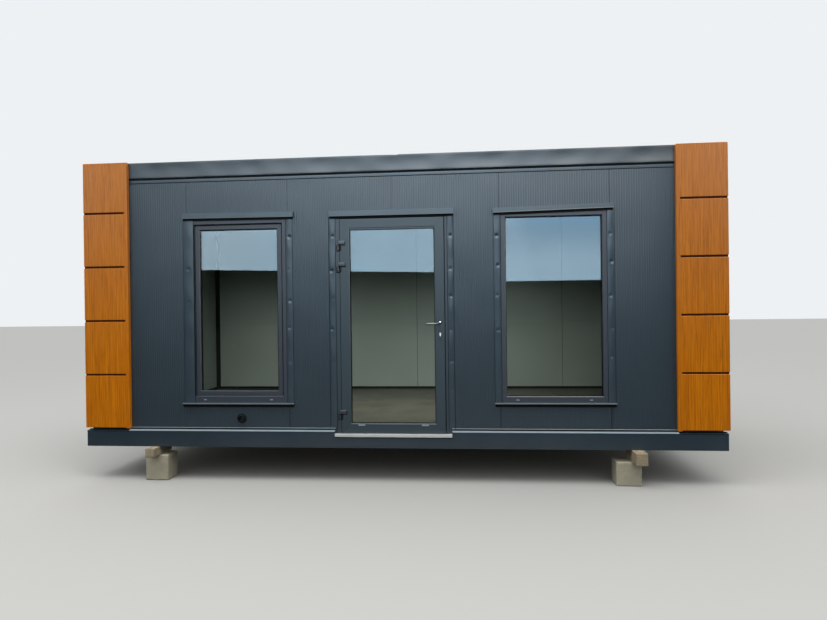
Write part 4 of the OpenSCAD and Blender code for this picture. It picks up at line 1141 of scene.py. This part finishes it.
# Black beads on the frame beside the sash, 8.5 mm wide on the left and top and 4 mm on the right: painted
# shade of the reveal.
shade_strip = []
for start, end, width in (
    ((sash_low[0], sash_low[2]), (sash_low[0], sash_high[2]), 0.0085),
    ((sash_low[0], sash_high[2]), (sash_high[0], sash_high[2]), 0.0085),
    ((sash_high[0], sash_high[2]), (sash_high[0], sash_low[2]), 0.0040),
):
    away = np.array([end[1] - start[1], 0.0, start[0] - end[0]])
    away = away / -np.linalg.norm(away)
    line = (start[0], frame_face, start[1]), (end[0], frame_face, end[1])
    shade_strip.append(straight(rounded_bead(-0.0010, width, 0.0016), *line, away, (0, -1, 0)))
piece("sash_rubber_and_shade_lines", joined([sash_ring] + shade_strip), "cabin", rubber)

leaf_low, leaf_high = (np.array(v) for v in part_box("door_leaf"))
lip_back = leaf_low[1] + 0.014
leaf_foot = leaf_low[[0, 2]] + (0.0, LEAF_FOOT)
# The leaf's lip reaches 7.8 mm past the leaf: partly a real lip, partly painted shade of the gap.
leaf_lip_and_shade = rubber_ring(leaf_foot, leaf_high[[0, 2]], lip_back, 1, rounded_bead(-0.0050, 0.0078, 0.0044))
piece("leaf_rubber_and_shade_line", leaf_lip_and_shade, "door", rubber)

# %% [markdown]
# The leaf's upper glazing bead is deeper than the others and flush, so the glass begins lower.

# %% Upper glazing bead of the door
pane_low, pane_high = (np.array(v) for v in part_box("door_glass"))
slope = np.array([(0.0, 0.002), (0.0, -0.0115), (0.0016, -0.0130), (0.0225, -0.0130), (0.0225, 0.002)])
ends = [(x, leaf_low[1] + 0.0006, pane_high[2] - GRIP)
        for x in (pane_low[0] + GRIP - 0.001, pane_high[0] - GRIP + 0.001)]
bead = straight(slope, *ends, (0, 1, 0))
piece("leaf_top_bead", bead, "door", door_foil)

# %% [markdown]
# Where two foil-covered profiles are welded, the bead is milled off and a fine dark line remains
# across the corner. The line follows the profile: over its face and down its bevel.

# %% Weld lines at the corners
SEAM = 0.0020


def weld_line(corner, signs, depth, face, bevel=0.006):
    """A thin ridge from a frame's outer corner inwards along the diagonal, over a face of the given
    width and down a bevel. The path is (a, y) with a measured inwards from both edges."""
    reach = np.array([0.0, face - bevel, face])
    y = depth + np.array([0.0, 0.0, bevel])
    inwards = -np.asarray(signs, float)
    origins = np.column_stack([corner[0] + reach * inwards[0], y, corner[1] + reach * inwards[1]])
    across = np.array([inwards[1], 0.0, -inwards[0]]) / np.sqrt(2)
    outline = np.array([(-SEAM / 2, 0.0002), (SEAM / 2, 0.0002), (SEAM / 2, -0.001), (-SEAM / 2, -0.001)])
    return sweep(outline, origins, [across] * 3, [[0, -1, 0]] * 3)


def weld_lines(name, face, foot=0.0, corners=((-1, -1), (1, -1), (1, 1), (-1, 1))):
    """The weld lines of one frame, from its box; foot is the height of a sill profile under it."""
    low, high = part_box(name)
    lines = []
    for sx, sz in corners:
        spot = (high[0] if sx > 0 else low[0], high[2] if sz > 0 else low[2] + foot)
        lines.append(weld_line(spot, (sx, sz), low[1], face))
    return joined(lines)


fixed_lines = joined([
    weld_lines("left_window_frame", 0.050, 0.024),
    weld_lines("left_window_sash", 0.0487),
    weld_lines("right_window_frame", 0.046, 0.024),
    weld_lines("door_frame", 0.052, corners=((1, 1), (-1, 1))),
])
piece("window_weld_lines", fixed_lines, "cabin", dark_coat)
piece("leaf_weld_lines", weld_lines("door_leaf", 0.090), "door", dark_coat)

# %% [markdown]
# ## Glass
#
# Sealed units of two panes. A plain pane mirrors four hundredths at each of its faces, and a coated
# unit mirrors about a fifth in all, which is why so much sky shows in it. Raising the index of
# refraction of the panes to 1.62 gives that fifth with four plain faces. Shadow rays and soft light
# pass straight through by a transparent shader, or the room behind would be dark.

# %% Coated double glazing
glass, tree, shader, place = finish_of(
    "coated_double_glazing", Transmission_Weight=1.0, Roughness=0.0, IOR=1.62
)
cloud = node(tree, "TexNoise", (place, 2.0, 5.0))
fill(shader, {"Base Color": node(tree, "Mix", (cloud, "#E6EBE8", "#F0F4F1"), data_type="RGBA")})
rays = node(tree, "LightPath", ()).node.outputs
soft = node(tree, "Math", (rays["Is Shadow Ray"], rays["Is Diffuse Ray"]), operation="MAXIMUM")
clear = node(tree, "BsdfTransparent", ("#DDE3DD",))
pane = node(tree, "MixShader", (soft, shader.outputs["BSDF"], clear))
fill(tree.nodes["Material Output"], {"Surface": pane})
wear(glass, "left_window_glass", "right_window_glass", "door_glass")

# %% [markdown]
# ## Metals
#
# The threshold is anodised aluminium with fine lines along the extrusion: a noise that is stretched
# along it, in the tone, in the gloss and a little in the relief. Its nose is a separate rounded lip,
# worn bright by shoes, with a black rubber strip under it that is painted shade.

# %% Aluminium threshold
aluminium, tree, shader, place = finish_of("anodised_aluminium", Metallic=1.0)
brush_map = node(tree, "Mapping", {"Vector": place, "Scale": (6.0, 900.0, 900.0)})
brush = node(tree, "TexNoise", (brush_map, 1.0, 3.0))
fill(shader, {
    "Base Color": node(tree, "Mix", (brush, "#83827E", "#9A9995"), data_type="RGBA"),
    "Roughness": node(tree, "MapRange", (brush, 0.0, 1.0, 0.55, 0.72)),
    "Normal": node(tree, "Bump", {"Strength": 0.3, "Distance": 0.0001, "Height": brush}),
})
wear(aluminium, "door_threshold")

step_low, step_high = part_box("door_threshold")
lip = np.concatenate([
    [(0.0385, 0.0295), (0.0385, 0.0335)],
    quarter(6, 0) * 0.003 + (0.0345, 0.0315),
    quarter(6, 90) * 0.004 + (0.0040, 0.0305),
    [(0.0, 0.0060), (0.0015, 0.0045), (0.0035, 0.0045), (0.0035, 0.0295)],
])
ends = [(x, step_low[1] - 0.0025, step_low[2]) for x in (step_low[0], step_high[0])]
piece("threshold_nose", straight(lip, *ends, (0, 1, 0)), "cabin", aluminium)
# Black strip under the threshold's nose: painted shade.
shade_strip = np.array([(0.0, -0.0010), (0.0, 0.0050), (0.0030, 0.0050), (0.0030, -0.0010)])
piece("threshold_shade_strip", straight(shade_strip, *ends, (0, 1, 0)), "cabin", rubber)

# %% [markdown]
# The lever is cast and plated in a dark satin titanium tone, its spindle ends and the cylinder are
# brushed nickel, and the window's handle is coated white. Hands polish and smear metal, so the gloss
# of both metals wanders with their tone.

# %% Handle finishes
titanium = mottled("satin_titanium_finish", 70.0, "#484B48", "#5A5D5A", gloss=(0.28, 0.42), Metallic=1.0)
nickel = mottled("brushed_nickel", 90.0, "#C6C7C6", "#DDDDDB", gloss=(0.30, 0.42), Metallic=1.0)
white = mottled("white_coated_handle", 60.0, "#D5D5D0", "#E6E6E2", detail=3.0, Roughness=0.35, IOR=1.5)
wear(white, "left_window_handle")

# %% [markdown]
# The lever is a bent bar: round where it enters the lock, oval where the hand holds it. It is one
# section carried along a path that leaves the door, turns a quarter and runs along it, while the
# section changes from a circle to an oval. The same shape, mirrored, is on the inside. The round
# end of the spindle is polished, and from far away it is the brightest point on the door.

# %% Lever
lever_low, lever_high = (np.array(v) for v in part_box("door_lever"))
plate_low, plate_high = (np.array(v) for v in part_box("door_lock_plates"))
lever_z = (lever_low[2] + lever_high[2]) / 2
PIVOT = np.array([lever_high[0] - 0.010, (leaf_low[1] + leaf_high[1]) / 2, lever_z])
LEAF_HALF = (leaf_high[1] - leaf_low[1]) / 2
GRIP_END = 0.121
TURN_R = 0.014
PLATE_T = 0.008
PLATE_R = 0.015
CYLINDER_DROP = 0.104
turn = np.linspace(0, 2 * np.pi, 28, endpoint=False)
circle = np.column_stack([np.cos(turn), np.sin(turn)])


def lever_side(front):
    """Neck, bend and grip of one side. The centre line is straight out for 20 mm, turns on an arc of
    14 mm and runs to the tip; half the width and height blend from 8 mm round to 5 by 8 mm, and
    shrink by a quarter circle at the tip."""
    reach = LEAF_HALF + 0.041 - TURN_R
    arc = quarter(9, 0) * TURN_R
    out = np.concatenate([[LEAF_HALF, reach - 0.006], reach + arc[:, 1], np.full(12, reach + TURN_R)])
    slide = np.linspace(TURN_R, GRIP_END, 12)
    tip = 0.009 * np.sin(np.linspace(0, np.pi / 2, 6))[1:]
    left = np.concatenate([[0.0, 0.0], TURN_R - arc[:, 0], slide, GRIP_END + tip])
    out = np.concatenate([out, np.full(5, reach + TURN_R)])
    blend = np.clip((left - 0.004) / 0.03, 0, 1)[:, None, None]
    past = np.clip(left - GRIP_END, 0, None) / 0.0091
    shrink = np.sqrt(np.clip(1 - past ** 2, 0, 1))[:, None, None]
    section = circle[None] * ((1 - blend) * (0.008, 0.008) + blend * (0.0052, 0.0082)) * shrink
    heading = np.gradient(np.column_stack([left, out]), axis=0)
    heading /= np.linalg.norm(heading, axis=1, keepdims=True)
    drop = 0.0125 * np.clip((left - 0.004) / 0.03, 0, 1)
    origins = np.column_stack([PIVOT[0] - left, PIVOT[1] + front * out, PIVOT[2] - drop])
    across = np.column_stack([heading[:, 1], front * heading[:, 0], np.zeros(len(left))])
    return sweep(section, origins, across, [[0, 0, 1]] * len(left))


both = (-1, 1)
levers = piece("lever_pair", joined([lever_side(s) for s in both]), "lever", titanium)
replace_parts(levers, "door_lever")
knobs = joined([
    dome(PIVOT + (0, s * (LEAF_HALF + 0.035), 0.003), 0.0098, 0.0098, (0, s, 0), sides=28, rings=9)
    for s in both
])
piece("spindle_ends", knobs, "lever", nickel, smooth=60)

# %% [markdown]
# The lock plates are long plates with round ends, powder coated. Each has a black collar round the
# lever's neck and a nickel cylinder with a dark keyway. All are flat outlines that are carried
# outwards from the leaf, on both of its sides, and the plate and the collar shrink by a millimetre
# at the last station, which softens their edge.

# %% Lock plates and cylinder
def stadium(radius, low, high, n=13):
    """Outline of an upright plate: half a circle at each end, at the heights low and high."""
    t = np.linspace(0, np.pi, n)
    top = np.column_stack([np.cos(t), np.sin(t)]) * radius + (0, high)
    return np.concatenate([top, -top + (0, low + high)])


def lock_plate(front):
    """Plate with a softened edge: three stations outwards, the last one 1.2 mm smaller."""
    low, high = plate_low[2] + PLATE_R, plate_high[2] - PLATE_R
    section = np.stack([stadium(r, low, high) for r in (PLATE_R, PLATE_R, PLATE_R - 0.0012)])
    y = PIVOT[1] + front * (LEAF_HALF + np.array([-0.0004, PLATE_T - 0.0012, PLATE_T]))
    origins = np.column_stack([np.full(3, PIVOT[0]), y, np.zeros(3)])
    return sweep(section, origins, [[1, 0, 0]] * 3, [[0, 0, 1]] * 3)


def collar(front, radius, start, length):
    """A round collar round the neck, with its front edge softened."""
    size = np.array([radius, radius, radius - 0.001])[:, None, None]
    y = PIVOT[1] + front * (LEAF_HALF + start + np.array([0.0, length - 0.001, length]))
    origins = np.column_stack([np.full(3, PIVOT[0]), y, np.full(3, PIVOT[2])])
    return sweep(circle[None] * size, origins, [[1, 0, 0]] * 3, [[0, 0, 1]] * 3)


def lock_cylinder(front, start, length):
    """A profile cylinder: a round head on a narrower stem, as in every such door."""
    head = np.radians(np.linspace(-54, 234, 21))
    stem = np.radians(np.linspace(180, 360, 9))
    outline = np.concatenate([
        np.column_stack([np.cos(head), np.sin(head)]) * 0.0085,
        np.column_stack([np.cos(stem), np.sin(stem)]) * 0.005 - (0, 0.020),
    ])
    ends = [(PIVOT[0], PIVOT[1] + front * (LEAF_HALF + out), PIVOT[2] - CYLINDER_DROP)
            for out in (start, start + length)]
    return straight(outline, *ends, (1, 0, 0))


def keyway(front):
    """The dark slot for the key, a thin upright bar on the cylinder's face."""
    bar = stadium(0.0012, PIVOT[2] - CYLINDER_DROP - 0.003, PIVOT[2] - CYLINDER_DROP + 0.004, 5)
    ends = [(PIVOT[0], PIVOT[1] + front * (LEAF_HALF + PLATE_T + out), 0) for out in (0.001, 0.0031)]
    return straight(bar, *ends, (1, 0, 0))


plate_coat = folded_sheet("powder_coated_lock_plate", "#12181B", "#181E22", 20.0, 0.4)
plates = piece("lock_plates", joined([lock_plate(s) for s in both]), "door", plate_coat)
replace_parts(plates, "door_lock_plates")
collars = joined([collar(s, 0.0135, PLATE_T - 0.0004, 0.0034) for s in both])
piece("lever_collars", collars, "door", moulded)
cylinder = joined([lock_cylinder(s, PLATE_T - 0.0004, 0.0032) for s in both])
piece("lock_cylinder", cylinder, "door", nickel)
piece("keyways", joined([keyway(s) for s in both]), "door", rubber)

# %% [markdown]
# A hinge of such a door is grey die-cast metal with black plastic: a sleeve where its two knuckles
# meet, and a cap at either end. Black pads behind it, on the leaf and on the frame, are painted shade
# round the knuckle and under the arm. The upper knuckle and its short arm swing with the leaf. The
# lower one stays on the frame. Arms and pads are small blocks with rounded edges, made by a recipe
# that also serves the worn supports: clamp a point on the box to a smaller box inside it, and put it
# back at the radius from there, less some wear.

# %% Rounded blocks
def worn_block(low, high, radius, wear_depth, cells=26):
    """A box with rounded and worn edges. Each side is a grid; p is clamped to the box that is
    smaller by the radius, and set back at the radius less a wear of summed sines."""
    low, high = np.asarray(low, float), np.asarray(high, float)
    half, middle = (high - low) / 2, (high + low) / 2
    s = np.sin(np.linspace(-1, 1, cells) * np.pi / 2)
    u, v = np.meshgrid(s, s, indexing="ij")
    parts = []
    for axis in range(3):
        for sign in (-1, 1):
            cube = np.empty((cells, cells, 3))
            cube[..., axis] = sign
            cube[..., (axis + 1) % 3] = u
            cube[..., (axis + 2) % 3] = v
            p = cube * half
            core = np.clip(p, -(half - radius), half - radius)
            out = (p - core) / np.maximum(np.linalg.norm(p - core, axis=-1, keepdims=True), 1e-9)
            rough = np.sin(p @ (61, 47, 83)) + np.sin(p @ (-97, 129, 71) + 1.3) + np.sin(p @ (183, -151, 207))
            edge = (np.abs(out) > 0.2).sum(-1) - 1
            p = core + out * (radius - wear_depth * (rough + 3) / 6 * (0.3 + edge))[..., None]
            i, j = np.meshgrid(np.arange(cells - 1), np.arange(cells - 1), indexing="ij")
            first = i * cells + j
            quads = np.stack([first, first + cells, first + cells + 1, first + 1], -1)
            parts.append((p.reshape(-1, 3) + middle, quads.reshape(-1, 4).tolist()))
    return joined(parts)


print("a block has", len(worn_block((0, 0, 0), (1, 1, 1), 0.1, 0.0)[1]), "faces")

# %% [markdown]
# The three hinges are the same parts at three heights, so one loop makes them from the CAD solids of
# their arms: metal, then black plastic and painted shade pads that swing, and black plastic and
# painted shade pads that stay.

# %% Hinges
die_cast = folded_sheet("powder_coated_die_cast_hinge", "#2C3236", "#363C40", 4.0, 0.28)
wear(die_cast, "door_hinge_pins")
AXIS = np.array([leaf_low[0] - 0.018, leaf_low[1] + 0.0055])


def ring(radius, low_z, high_z, soft=0.001):
    """An upright cylinder round the hinge's axis with both edges softened."""
    z = np.array([low_z, low_z + soft, high_z - soft, high_z])
    size = np.array([radius - soft, radius, radius, radius - soft])[:, None, None]
    origins = np.column_stack([np.full(4, AXIS[0]), np.full(4, AXIS[1]), z])
    return sweep(circle[None] * size, origins, [[1, 0, 0]] * 4, [[0, 1, 0]] * 4)


leaf_metal, leaf_black_and_shade, frame_black_and_shade = [], [], []
face = leaf_low[1]
for low, high in solids_of("door_hinge_arms"):
    middle, top = low[2], high[2]
    leaf_metal.append(ring(0.0090, middle + 0.003, top - 0.005))
    arm = (AXIS[0] + 0.002, face - 0.0078, top - 0.036), (-0.447, face - 0.0004, top - 0.002)
    leaf_metal.append(worn_block(*arm, 0.0028, 0.0, 9))
    leaf_black_and_shade.append(ring(0.0094, middle - 0.001, middle + 0.004))
    leaf_black_and_shade.append(ring(0.0094, top - 0.006, top))
    # Black pad behind the arm and along the leaf's edge: painted shade.
    shade_pad = (leaf_low[0] + 0.001, face - 0.0034, top - 0.045), (-0.438, face + 0.0004, top - 0.006)
    leaf_black_and_shade.append(worn_block(*shade_pad, 0.0015, 0.0, 7))
    shade_tail = (
        (leaf_low[0] + 0.0005, face - 0.0026, middle - 0.050),
        (leaf_low[0] + 0.013, face + 0.0004, top - 0.040),
    )
    leaf_black_and_shade.append(worn_block(*shade_tail, 0.0012, 0.0, 7))
    frame_black_and_shade.append(ring(0.0094, middle - 0.0455, middle - 0.037))
    # Black pad on the frame round the lower knuckle: painted shade.
    foot = (
        (AXIS[0] - 0.021, frame_face - 0.0036, middle - 0.054),
        (AXIS[0] + 0.011, frame_face + 0.0004, middle + 0.008),
    )
    frame_black_and_shade.append(worn_block(*foot, 0.0015, 0.0, 7))
arms = piece("hinge_arms", joined(leaf_metal), "door", die_cast)
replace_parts(arms, "door_hinge_arms")
piece("hinge_sleeves_and_shade_pads", joined(leaf_black_and_shade), "door", moulded)
piece("hinge_caps_and_shade_pads", joined(frame_black_and_shade), "cabin", moulded)

# %% [markdown]
# ## Timber and concrete
#
# The packers are rough-sawn spruce, grey from the weather. Real wood is a solid texture, so rings
# round a pith line beside each packer give the end grain and the long streaks at once. A stretched
# noise is the saw's scratches, and a coarse one says where the grey has been knocked off.

# %% Sawn spruce
def sawn_spruce(name, pith):
    """Weathered spruce with growth rings 7 mm apart round an axis along Y through pith (x, z)."""
    material, tree, shader, place = finish_of(name, Roughness=0.85)
    shift = node(tree, "Mapping", {"Vector": place, "Location": (-pith[0], 0.0, -pith[1])})
    wave = {"Vector": shift, "Scale": 22.0, "Distortion": 2.2, "Detail": 3.0, "Detail Scale": 0.6}
    rings = node(tree, "TexWave", wave, wave_type="RINGS", rings_direction="Y").node.outputs["Fac"]
    saw_map = node(tree, "Mapping", {"Vector": place, "Scale": (30.0, 350.0, 30.0)})
    saw = node(tree, "TexNoise", (saw_map, 1.0, 3.0))
    stain = node(tree, "TexNoise", (place, 9.0, 6.0, 0.7))
    fresh = node(tree, "Mix", (rings, "#7E6F55", "#A39373"), data_type="RGBA")
    grey = node(tree, "Mix", (rings, "#625C4F", "#857E6C"), data_type="RGBA")
    patch = node(tree, "MapRange", (stain, 0.38, 0.62))
    relief = node(tree, "Math", (saw, 2.0, rings), operation="MULTIPLY_ADD")
    fill(shader, {
        "Base Color": node(tree, "Mix", (patch, grey, fresh), data_type="RGBA"),
        "Normal": node(tree, "Bump", {"Strength": 0.8, "Distance": 0.0008, "Height": relief}),
    })
    return material


spruce_left = sawn_spruce("sawn_spruce_left", (-2.33, 0.17))
spruce_right = sawn_spruce("sawn_spruce_right", (2.19, 0.37))
print(spruce_left.name, spruce_right.name)

# %% [markdown]
# The blocks are pressed from nearly dry concrete, which leaves grit and blow holes. Fine noise is the
# grit, cells with a small dark heart are the holes, and coarse noise is the damp patches.

# %% Pressed concrete

concrete, tree, shader, place = finish_of("pressed_concrete", Roughness=0.92)
grit = node(tree, "TexNoise", (place, 160.0, 5.0, 0.7))
damp = node(tree, "TexNoise", (place, 6.0, 6.0, 0.6))
holes = node(tree, "TexVoronoi", {"Vector": place, "Scale": 55.0})
pit = node(tree, "MapRange", (holes, 0.06, 0.2))
grey = node(tree, "Mix", (damp, "#837D6B", "#B8B19B"), data_type="RGBA")
relief = node(tree, "Math", (pit, 1.5, grit), operation="MULTIPLY_ADD")
fill(shader, {
    "Base Color": node(tree, "Mix", (pit, "#66635C", grey), data_type="RGBA"),
    "Normal": node(tree, "Bump", {"Distance": 0.002, "Height": relief}),
})
print(concrete.name)

# %% [markdown]
# Blocks and packers have knocked-about edges. The packers' edges are only broken, over 4 mm; the
# blocks' corners are worn round over 9 mm.

# %% Blocks and packers
packers = solids_of("timber_packers")
left_packers = joined([worn_block(low, high, 0.004, 0.0018) for low, high in packers[:2]])
right_packers = joined([worn_block(low, high, 0.004, 0.0018) for low, high in packers[2:]])
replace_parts(piece("left_packers", left_packers, "cabin", spruce_left), "timber_packers")
piece("right_packers", right_packers, "cabin", spruce_right)
blocks = joined([worn_block(low, high, 0.009, 0.003) for low, high in solids_of("support_blocks")])
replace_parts(piece("worn_blocks", blocks, "cabin", concrete), "support_blocks")

# %% [markdown]
# ## The room
#
# Through the glass one sees the far corners, where a dark angle covers the joint between two panels,
# and a dark skirting along the floor. Both are plain profiles, each carried along its path.

# %% Corner angles and skirting
ANGLE_LEG = 0.045
SKIRT = (0.010, 0.032)
CEILING = 2.910
room_x, room_y = ROOM
deck_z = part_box("floor_deck")[1][2]
ell = np.array([(0.0004, 0.0004), (ANGLE_LEG, 0.0004), (ANGLE_LEG, 0.0024), (0.0024, 0.0024),
                (0.0024, ANGLE_LEG), (0.0004, ANGLE_LEG)])
angles = []
for sx in (-1, 1):
    for sy in (-1, 1):
        line = [(sx * room_x, sy * room_y, z) for z in (deck_z, CEILING)]
        angles.append(straight(ell, *line, (-sx, 0, 0), (0, -sy, 0)))
door_low, door_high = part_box("door_frame")
board = np.concatenate([[(0.0004, 0.0)], [(SKIRT[0], 0.0)],
                        quarter(5, 0) * 0.006 + (SKIRT[0] - 0.006, SKIRT[1] - 0.006), [(0.0004, SKIRT[1])]])
skirts = []
for start, end, inward in (
    ((-room_x, room_y), (room_x, room_y), (0, -1, 0)),
    ((-room_x, -room_y), (-room_x, room_y), (1, 0, 0)),
    ((room_x, -room_y), (room_x, room_y), (-1, 0, 0)),
    ((-room_x, -room_y), (door_low[0], -room_y), (0, 1, 0)),
    ((door_high[0], -room_y), (room_x, -room_y), (0, 1, 0)),
):
    skirts.append(straight(board, (*start, deck_z + 0.0002), (*end, deck_z + 0.0002), inward))
piece("corner_angles", joined(angles), "cabin", matt_black)
piece("skirting", joined(skirts), "cabin", matt_black)
